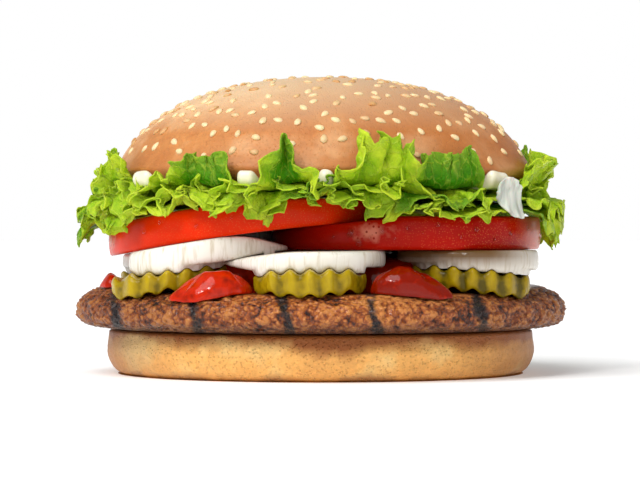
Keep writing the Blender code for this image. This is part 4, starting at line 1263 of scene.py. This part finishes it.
def tomato_material(name, skin, pale, patch, patch_size, speckled, end):
    """Ripe tomato: glossy red flesh with pale specks and one painted reflection, a pale spot broken by dark
    dots.

    speckled gives the places along X between which the specks grow stronger, end those of the pale end.
    patch and patch_size give the centre and the size of the painted reflection.
    """
    made, tree, shader, spot = open_material(name)
    cloud = add(tree, "TexNoise", {"Vector": spot, "Scale": 0.07, "Detail": 3.0})
    dark = dimmed(skin, 0.82)
    base = add(tree, "ValToRGB", {"Fac": cloud}, stops=((0.35, dark), (0.62, skin)))
    across = add(tree, "SeparateXYZ", {"Vector": spot}).outputs["X"]
    grow = add(tree, "MapRange", {"Value": across, FROM_LOW: speckled[0], FROM_HIGH: speckled[1],
                                  TO_LOW: 0.12, TO_HIGH: 0.9})
    gold = (pale[0], 0.75 * pale[1], 0.3 * pale[2])
    speck = add(tree, "TexVoronoi", {"Vector": spot, "Scale": 2.0})
    dots = add(tree, "ValToRGB", {"Fac": speck.outputs["Distance"]},
               stops=((0.1, grey(0.8)), (0.34, grey(0.0))))
    seen = add(tree, "Math", {0: dots, 1: grow}, operation="MULTIPLY")
    faded = add(tree, "MapRange", {"Value": across, FROM_LOW: end[0], FROM_HIGH: end[1], TO_HIGH: 0.75})
    blush = add(tree, "Mix", {SHARE: faded, UNDER: base, OVER: pale}, data_type="RGBA")
    dotted = add(tree, "Mix", {SHARE: seen, UNDER: blush, OVER: gold}, data_type="RGBA")
    # Painted reflection: a pale spot of the light on the wet skin, broken by dark dots
    local = add(tree, "Mapping", {"Vector": spot, "Location": patch, "Scale": patch_size},
                vector_type="TEXTURE")
    far = add(tree, "VectorMath", {0: local}, operation="LENGTH")
    ragged = add(tree, "TexNoise", {"Vector": spot, "Scale": 0.35, "Detail": 4.0})
    reach = add(tree, "Math", {0: far.outputs["Value"], 1: ragged}, operation="ADD")
    mask = add(tree, "ValToRGB", {"Fac": reach}, stops=((0.6, grey(0.75)), (1.5, grey(0.0))))
    pip = add(tree, "TexVoronoi", {"Vector": spot, "Scale": 0.9})
    pips = add(tree, "ValToRGB", {"Fac": pip.outputs["Distance"]},
               stops=((0.2, grey(0.9)), (0.34, grey(0.0))))
    seedy = dimmed(dark, 0.35)
    flecked = add(tree, "Mix", {SHARE: pips, UNDER: pale, OVER: seedy}, data_type="RGBA")
    tint = add(tree, "Mix", {SHARE: mask, UNDER: dotted, OVER: flecked}, data_type="RGBA")
    dent = add(tree, "Bump", {"Height": ragged, "Strength": 0.25, "Distance": 0.0005})
    connect(tree, shader, {"Base Color": tint, "Roughness": 0.24, "IOR": 1.4,
                           "Specular IOR Level": 0.13, "Subsurface Weight": 0.2,
                           "Subsurface Radius": (1.0, 0.2, 0.08), "Subsurface Scale": 0.002,
                           "Normal": dent})
    return made


def water_material():
    """Water beads: clear and mirror smooth."""
    made, tree, shader, spot = open_material("clear_water")
    swirl = add(tree, "TexNoise", {"Vector": spot, "Scale": 0.8})
    dent = add(tree, "Bump", {"Height": swirl, "Strength": 0.05, "Distance": 0.0002})
    connect(tree, shader, {"Base Color": grey(1.0), "Roughness": 0.02, "IOR": 1.33,
                           "Transmission Weight": 1.0, "Normal": dent})
    return made


def leaf_material(c):
    """Curly leaf lettuce: thin, waxy, yellow green, with fine pale veins and a pale margin."""
    made, tree, shader, spot = open_material("curly_leaf_lettuce")
    chart = add(tree, "UVMap", uv_map="leaf")
    cloud = add(tree, "TexNoise", {"Vector": spot, "Scale": 0.16, "Detail": 4.0, "Roughness": 0.65})
    tone = add(tree, "Attribute", attribute_name="tone").outputs["Fac"]
    lean = add(tree, "Math", {0: tone, 1: 0.42}, operation="MULTIPLY")
    shift = add(tree, "Math", {0: cloud, 1: lean}, operation="SUBTRACT")
    base = add(tree, "ValToRGB", {"Fac": shift},
               stops=((0.2, c.leaf_dark), (0.44, c.leaf_mid), (0.62, c.leaf_bright)))
    bent = add(tree, "TexNoise", {"Vector": chart, "Scale": 0.4, "Detail": 3.0})
    pushed = add(tree, "VectorMath", {0: bent.outputs["Color"], 1: (2.2, 2.2, 0.0), 2: chart},
                 operation="MULTIPLY_ADD")
    drawn = add(tree, "Mapping", {"Vector": pushed, "Scale": (0.55, 0.26, 1.0)})
    net = add(tree, "TexVoronoi", {"Vector": drawn, "Scale": 1.0}, feature="DISTANCE_TO_EDGE")
    vein = add(tree, "ValToRGB", {"Fac": net.outputs["Distance"]},
               stops=((0.0, grey(0.3)), (0.07, grey(0.0))))
    veined = add(tree, "Mix", {SHARE: vein, UNDER: base, OVER: c.leaf_edge}, data_type="RGBA")
    gap = add(tree, "SeparateXYZ", {"Vector": chart}).outputs["Y"]
    pale = add(tree, "MapRange", {"Value": gap, FROM_LOW: 0.2, FROM_HIGH: 6.0, TO_LOW: 0.2, TO_HIGH: 0.0})
    edged = add(tree, "Mix", {SHARE: pale, UNDER: veined, OVER: c.leaf_edge}, data_type="RGBA")
    crinkle = add(tree, "TexNoise", {"Vector": spot, "Scale": 0.6, "Detail": 6.0, "Roughness": 0.65})
    relief = add(tree, "Math", {0: vein, 1: crinkle}, operation="ADD")
    dent = add(tree, "Bump", {"Height": relief, "Strength": 0.8, "Distance": 0.0009})
    connect(tree, shader, {"Base Color": edged, "Roughness": 0.38, "IOR": 1.4,
                           "Specular IOR Level": 0.15, "Subsurface Weight": 0.5,
                           "Subsurface Radius": (1.0, 1.0, 0.15), "Subsurface Scale": 0.0014,
                           "Normal": dent})
    return made


def rib_material(c):
    """Lettuce heart: white, watery and ribbed."""
    made, tree, shader, spot = open_material("lettuce_heart")
    stretched = add(tree, "Mapping", {"Vector": spot, "Scale": (1.0, 1.0, 0.1)})
    fibre = add(tree, "TexNoise", {"Vector": stretched, "Scale": 0.7, "Detail": 3.0})
    dull = dimmed(c.rib, 0.6)
    tint = add(tree, "ValToRGB", {"Fac": fibre}, stops=((0.35, dull), (0.6, c.rib)))
    dent = add(tree, "Bump", {"Height": fibre, "Strength": 0.5, "Distance": 0.0004})
    connect(tree, shader, {"Base Color": tint, "Roughness": 0.3, "IOR": 1.38,
                           "Subsurface Weight": 0.3, "Subsurface Scale": 0.002, "Normal": dent})
    return made


def mayonnaise_material(c):
    """Mayonnaise: ivory, smooth and creamy."""
    made, tree, shader, spot = open_material("mayonnaise_cream")
    cloud = add(tree, "TexNoise", {"Vector": spot, "Scale": 0.25, "Detail": 3.0})
    warm = tuple(part * shift for part, shift in zip(c.mayonnaise, (0.95, 0.92, 0.8)))
    tint = add(tree, "ValToRGB", {"Fac": cloud}, stops=((0.35, warm), (0.6, c.mayonnaise)))
    dent = add(tree, "Bump", {"Height": cloud, "Strength": 0.3, "Distance": 0.0006})
    connect(tree, shader, {"Base Color": tint, "Roughness": 0.22, "IOR": 1.45,
                           "Subsurface Weight": 0.3, "Subsurface Radius": (1.0, 0.9, 0.7),
                           "Subsurface Scale": 0.002, "Normal": dent})
    return made


def palette(context):
    """The colours as plain tuples."""
    group = context.scene.burger_colours
    return SimpleNamespace(**{name: tuple(getattr(group, name)) for name in BurgerColours.__annotations__})


# Operators

class BURGER_OT_bun(bpy.types.Operator):
    """Model the heel, the crown and its sesame seeds"""

    bl_idname = "burger.bun"
    bl_label = "Bun"

    def execute(self, context):
        m, c = measures(context), palette(context)
        # Crown: sides and right paint shade on its ends and towards +X, and crest paints light on its top
        crown = crust_material(
            "baked_bun_crust", (c.crust_light, c.crust_mid, c.crust_dark, c.crust_crest),
            low=50.0, high=79.0,
            edge=((0.0, grey(0.4)), (0.2, grey(0.2)), (0.45, grey(0.0)), (1.0, grey(0.0))), sides=0.2,
            crest=0.95, pore_depth=0.0002, pore_tint=0.0, blotch=1.0, waver=4.0, right=0.5)
        # Heel: sides paints shade on its two ends; the top band of edge is partly browned crust, partly
        # painted shadow under the patty
        heel = crust_material(
            "toasted_heel_crust", (c.heel_light, c.heel_mid, c.heel_dark, c.heel_light),
            low=0.0, high=12.0,
            edge=((0.0, grey(0.8)), (0.18, grey(0.1)), (0.6, grey(0.0)), (0.86, grey(0.95))), sides=0.75,
            crest=0.0, pore_depth=0.0008, pore_tint=0.16, blotch=0.3, waver=9.0, right=0.0)
        finish_piece("bun_heel", heel_shape(m), heel, ["bottom_bun"])
        finish_piece("bun_crown", crown_shape(m), crown, ["top_bun"])
        finish_piece("sesame_seeds", seeds_shape(m), sesame_material(c), ["top_bun"])
        return {"FINISHED"}


class BURGER_OT_patty(bpy.types.Operator):
    """Model the grilled patty"""

    bl_idname = "burger.patty"
    bl_label = "Patty"

    def execute(self, context):
        m, c = measures(context), palette(context)
        finish_piece("grilled_patty", patty_shape(m), beef_material(c), ["patty"],
                     sharp=ALL_SMOOTH)
        return {"FINISHED"}


class BURGER_OT_pickles(bpy.types.Operator):
    """Model the crinkle cut pickles and the ketchup between them"""

    bl_idname = "burger.pickles"
    bl_label = "Pickles and ketchup"

    def execute(self, context):
        m, c = measures(context), palette(context)
        pickle = pickle_material(c)
        sauce = ketchup_material(c)
        for name, centre, lift, thickness in PICKLES:
            shape = pickle_shape(m, centre, lift, thickness)
            finish_piece(f"{name}_slice", shape, pickle, [name])
        for name, centre, radii, height, lean in KETCHUPS:
            shape = ketchup_shape(m, centre, radii, height, lean)
            finish_piece(f"{name}_blob", shape, sauce, [name])
        finish_piece("ketchup_smear", smear_shape(m), sauce, [])
        return {"FINISHED"}


class BURGER_OT_onions(bpy.types.Operator):
    """Model the onion slices"""

    bl_idname = "burger.onions"
    bl_label = "Onion"

    def execute(self, context):
        m, c = measures(context), palette(context)
        look = onion_material(c)
        for name, centre, lower, upper in ONIONS:
            finish_piece(f"{name}_slice", onion_shape(m, centre, lower, upper), look, [name])
        return {"FINISHED"}


class BURGER_OT_tomatoes(bpy.types.Operator):
    """Model the tomato slices and the water drops on them"""

    bl_idname = "burger.tomatoes"
    bl_label = "Tomato"

    def execute(self, context):
        m, c = measures(context), palette(context)
        # bright is partly painted light and deep partly painted shade; patch places a painted reflection on
        # each slice
        bright = tomato_material(
            "ripe_tomato_bright", c.tomato_bright, c.tomato_pale, patch=(-55.0, -14.0, 35.5),
            patch_size=(7.0, 14.0, 6.5), speckled=(-60.0, 20.0), end=(90.0, 100.0))
        deep = tomato_material(
            "ripe_tomato_deep", c.tomato_deep, c.tomato_pale, patch=(12.6, -45.0, 37.6),
            patch_size=(12.0, 10.0, 5.8), speckled=(14.0, 50.0), end=(50.0, 60.0))
        for side, centre, heights, look in (
                ("left", TOMATO_LEFT, tomato_left_heights, bright),
                ("right", TOMATO_RIGHT, tomato_right_heights, deep)):
            shape = tomato_shape(m, centre, heights)
            finish_piece(f"tomato_{side}_slice", shape, look, [f"tomato_{side}"])
        finish_piece("water_drops", drops_shape(), water_material(), [])
        return {"FINISHED"}


class BURGER_OT_lettuce(bpy.types.Operator):
    """Model the frilled lettuce leaves and the rib piece"""

    bl_idname = "burger.lettuce"
    bl_label = "Lettuce"

    def execute(self, context):
        m, c = measures(context), palette(context)
        look = leaf_material(c)
        for leaf in LEAVES:
            node = "lettuce_middle" if leaf == "inner" else f"lettuce_{leaf}"
            shape = leaf_shape(m, leaf)
            piece = finish_piece(f"leaf_{leaf}", shape, look, [node], sharp=ALL_SMOOTH)
            thick = piece.modifiers.new("thickness", "SOLIDIFY")
            thick.thickness = m.leaf_thickness * MM
            thick.offset = 0.0
        finish_piece("leaf_rib", rib_shape(), rib_material(c), ["lettuce_rib"])
        return {"FINISHED"}


class BURGER_OT_mayonnaise(bpy.types.Operator):
    """Model the mayonnaise under the crown"""

    bl_idname = "burger.mayonnaise"
    bl_label = "Mayonnaise"

    def execute(self, context):
        m, c = measures(context), palette(context)
        finish_piece("mayonnaise_layer", mayo_shape(m), mayonnaise_material(c),
                     ["mayonnaise"], sharp=ALL_SMOOTH)
        return {"FINISHED"}


FLOOR_HALF_WIDTH = 8.0
# Suns: (name, direction from which it shines, its spread in degrees, its strength)
SUNS = (
    ("key", (-0.4, -0.46, 0.82), 46.0, 2.35),
    ("fill", (0.3, -0.95, 0.08), 60.0, 0.56),
    ("glint", (-0.36, -0.74, 0.56), 6.0, 0.5),
)
# Camera: its place in metres, how far it looks down in degrees, its sensor and its lens in mm
EYE_PLACE = (-0.00027, -0.8, 0.0384)
EYE_DIP = 0.211
EYE_SENSOR = 36.0
EYE_LENS = 167.85


class BURGER_OT_stage(bpy.types.Operator):
    """Set the floor, the lights, the world and the camera"""

    bl_idname = "burger.stage"
    bl_label = "Stage"

    def execute(self, context):
        scene = context.scene
        c = palette(context)
        shape = bmesh.new()
        bmesh.ops.create_grid(shape, x_segments=1, y_segments=1, size=FLOOR_HALF_WIDTH)
        mesh = bpy.data.meshes.new("studio_floor")
        shape.to_mesh(mesh)
        shape.free()
        look, tree, shader, spot = open_material("matt_white_floor")
        cloud = add(tree, "TexNoise", {"Vector": spot, "Scale": 0.01})
        dull = dimmed(c.floor, 0.98)
        tint = add(tree, "ValToRGB", {"Fac": cloud}, stops=((0.4, dull), (0.6, c.floor)))
        connect(tree, shader, {"Base Color": tint, "Roughness": 0.9, "Specular IOR Level": 0.1,
                               "Emission Color": grey(1.0), "Emission Strength": 0.2})
        mesh.materials.append(look)
        floor = bpy.data.objects.new("studio_floor", mesh)
        scene.collection.objects.link(floor)
        for name, way, spread_angle, power in SUNS:
            light = bpy.data.lights.new(name, "SUN")
            light.angle = math.radians(spread_angle)
            light.energy = power
            lamp = bpy.data.objects.new(name, light)
            lamp.location = way
            lamp.rotation_euler = (-Vector(way)).to_track_quat("-Z", "Y").to_euler()
            scene.collection.objects.link(lamp)
        world = bpy.data.worlds.new("white_studio")
        world.use_nodes = True
        air = world.node_tree
        way = add(air, "TexCoord").outputs["Generated"]
        rise = add(air, "SeparateXYZ", {"Vector": way}).outputs["Z"]
        glow = add(air, "ValToRGB", {"Fac": rise},
                   stops=((0.09, grey(1.0)), (0.22, grey(0.4)), (0.6, grey(0.3))))
        connect(air, air.nodes["Background"], {"Color": glow, "Strength": 1.0})
        scene.world = world
        scene.view_settings.view_transform = "Standard"
        eye = bpy.data.cameras.new("camera")
        eye.sensor_width = EYE_SENSOR
        eye.lens = EYE_LENS
        camera = bpy.data.objects.new("camera", eye)
        camera.location = EYE_PLACE
        camera.rotation_euler = (math.radians(90.0 - EYE_DIP), 0.0, 0.0)
        scene.collection.objects.link(camera)
        scene.camera = camera
        return {"FINISHED"}


class BURGER_PT_panel(bpy.types.Panel):
    """Sidebar panel that builds the burger piece by piece"""

    bl_idname = "BURGER_PT_panel"
    bl_label = "Burger"
    bl_space_type = "VIEW_3D"
    bl_region_type = "UI"
    bl_category = "Burger"

    def draw(self, context):
        for step in STEPS:
            self.layout.operator(step.bl_idname)
        for group in (context.scene.burger_sizes, context.scene.burger_colours):
            box = self.layout.box()
            for name in type(group).__annotations__:
                box.prop(group, name)


STEPS = (
    BURGER_OT_stage, BURGER_OT_bun, BURGER_OT_patty, BURGER_OT_pickles, BURGER_OT_onions,
    BURGER_OT_tomatoes, BURGER_OT_lettuce, BURGER_OT_mayonnaise,
)
CLASSES = (BurgerSizes, BurgerColours) + STEPS + (BURGER_PT_panel,)


def register():
    """Register the classes and the scene's properties."""
    for each in CLASSES:
        bpy.utils.register_class(each)
    bpy.types.Scene.burger_sizes = bpy.props.PointerProperty(type=BurgerSizes)
    bpy.types.Scene.burger_colours = bpy.props.PointerProperty(type=BurgerColours)


def unregister():
    """Remove the scene's properties and the classes."""
    del bpy.types.Scene.burger_sizes
    del bpy.types.Scene.burger_colours
    for each in reversed(CLASSES):
        bpy.utils.unregister_class(each)


def main():
    """Build the stage and every piece."""
    register()
    # Without a seed of its own, noise_vector takes one from the clock
    noise.seed_set(NOISE_SEED)
    for step in STEPS:
        group, name = step.bl_idname.split(".")
        getattr(getattr(bpy.ops, group), name)()


if __name__ == "__main__":
    main()
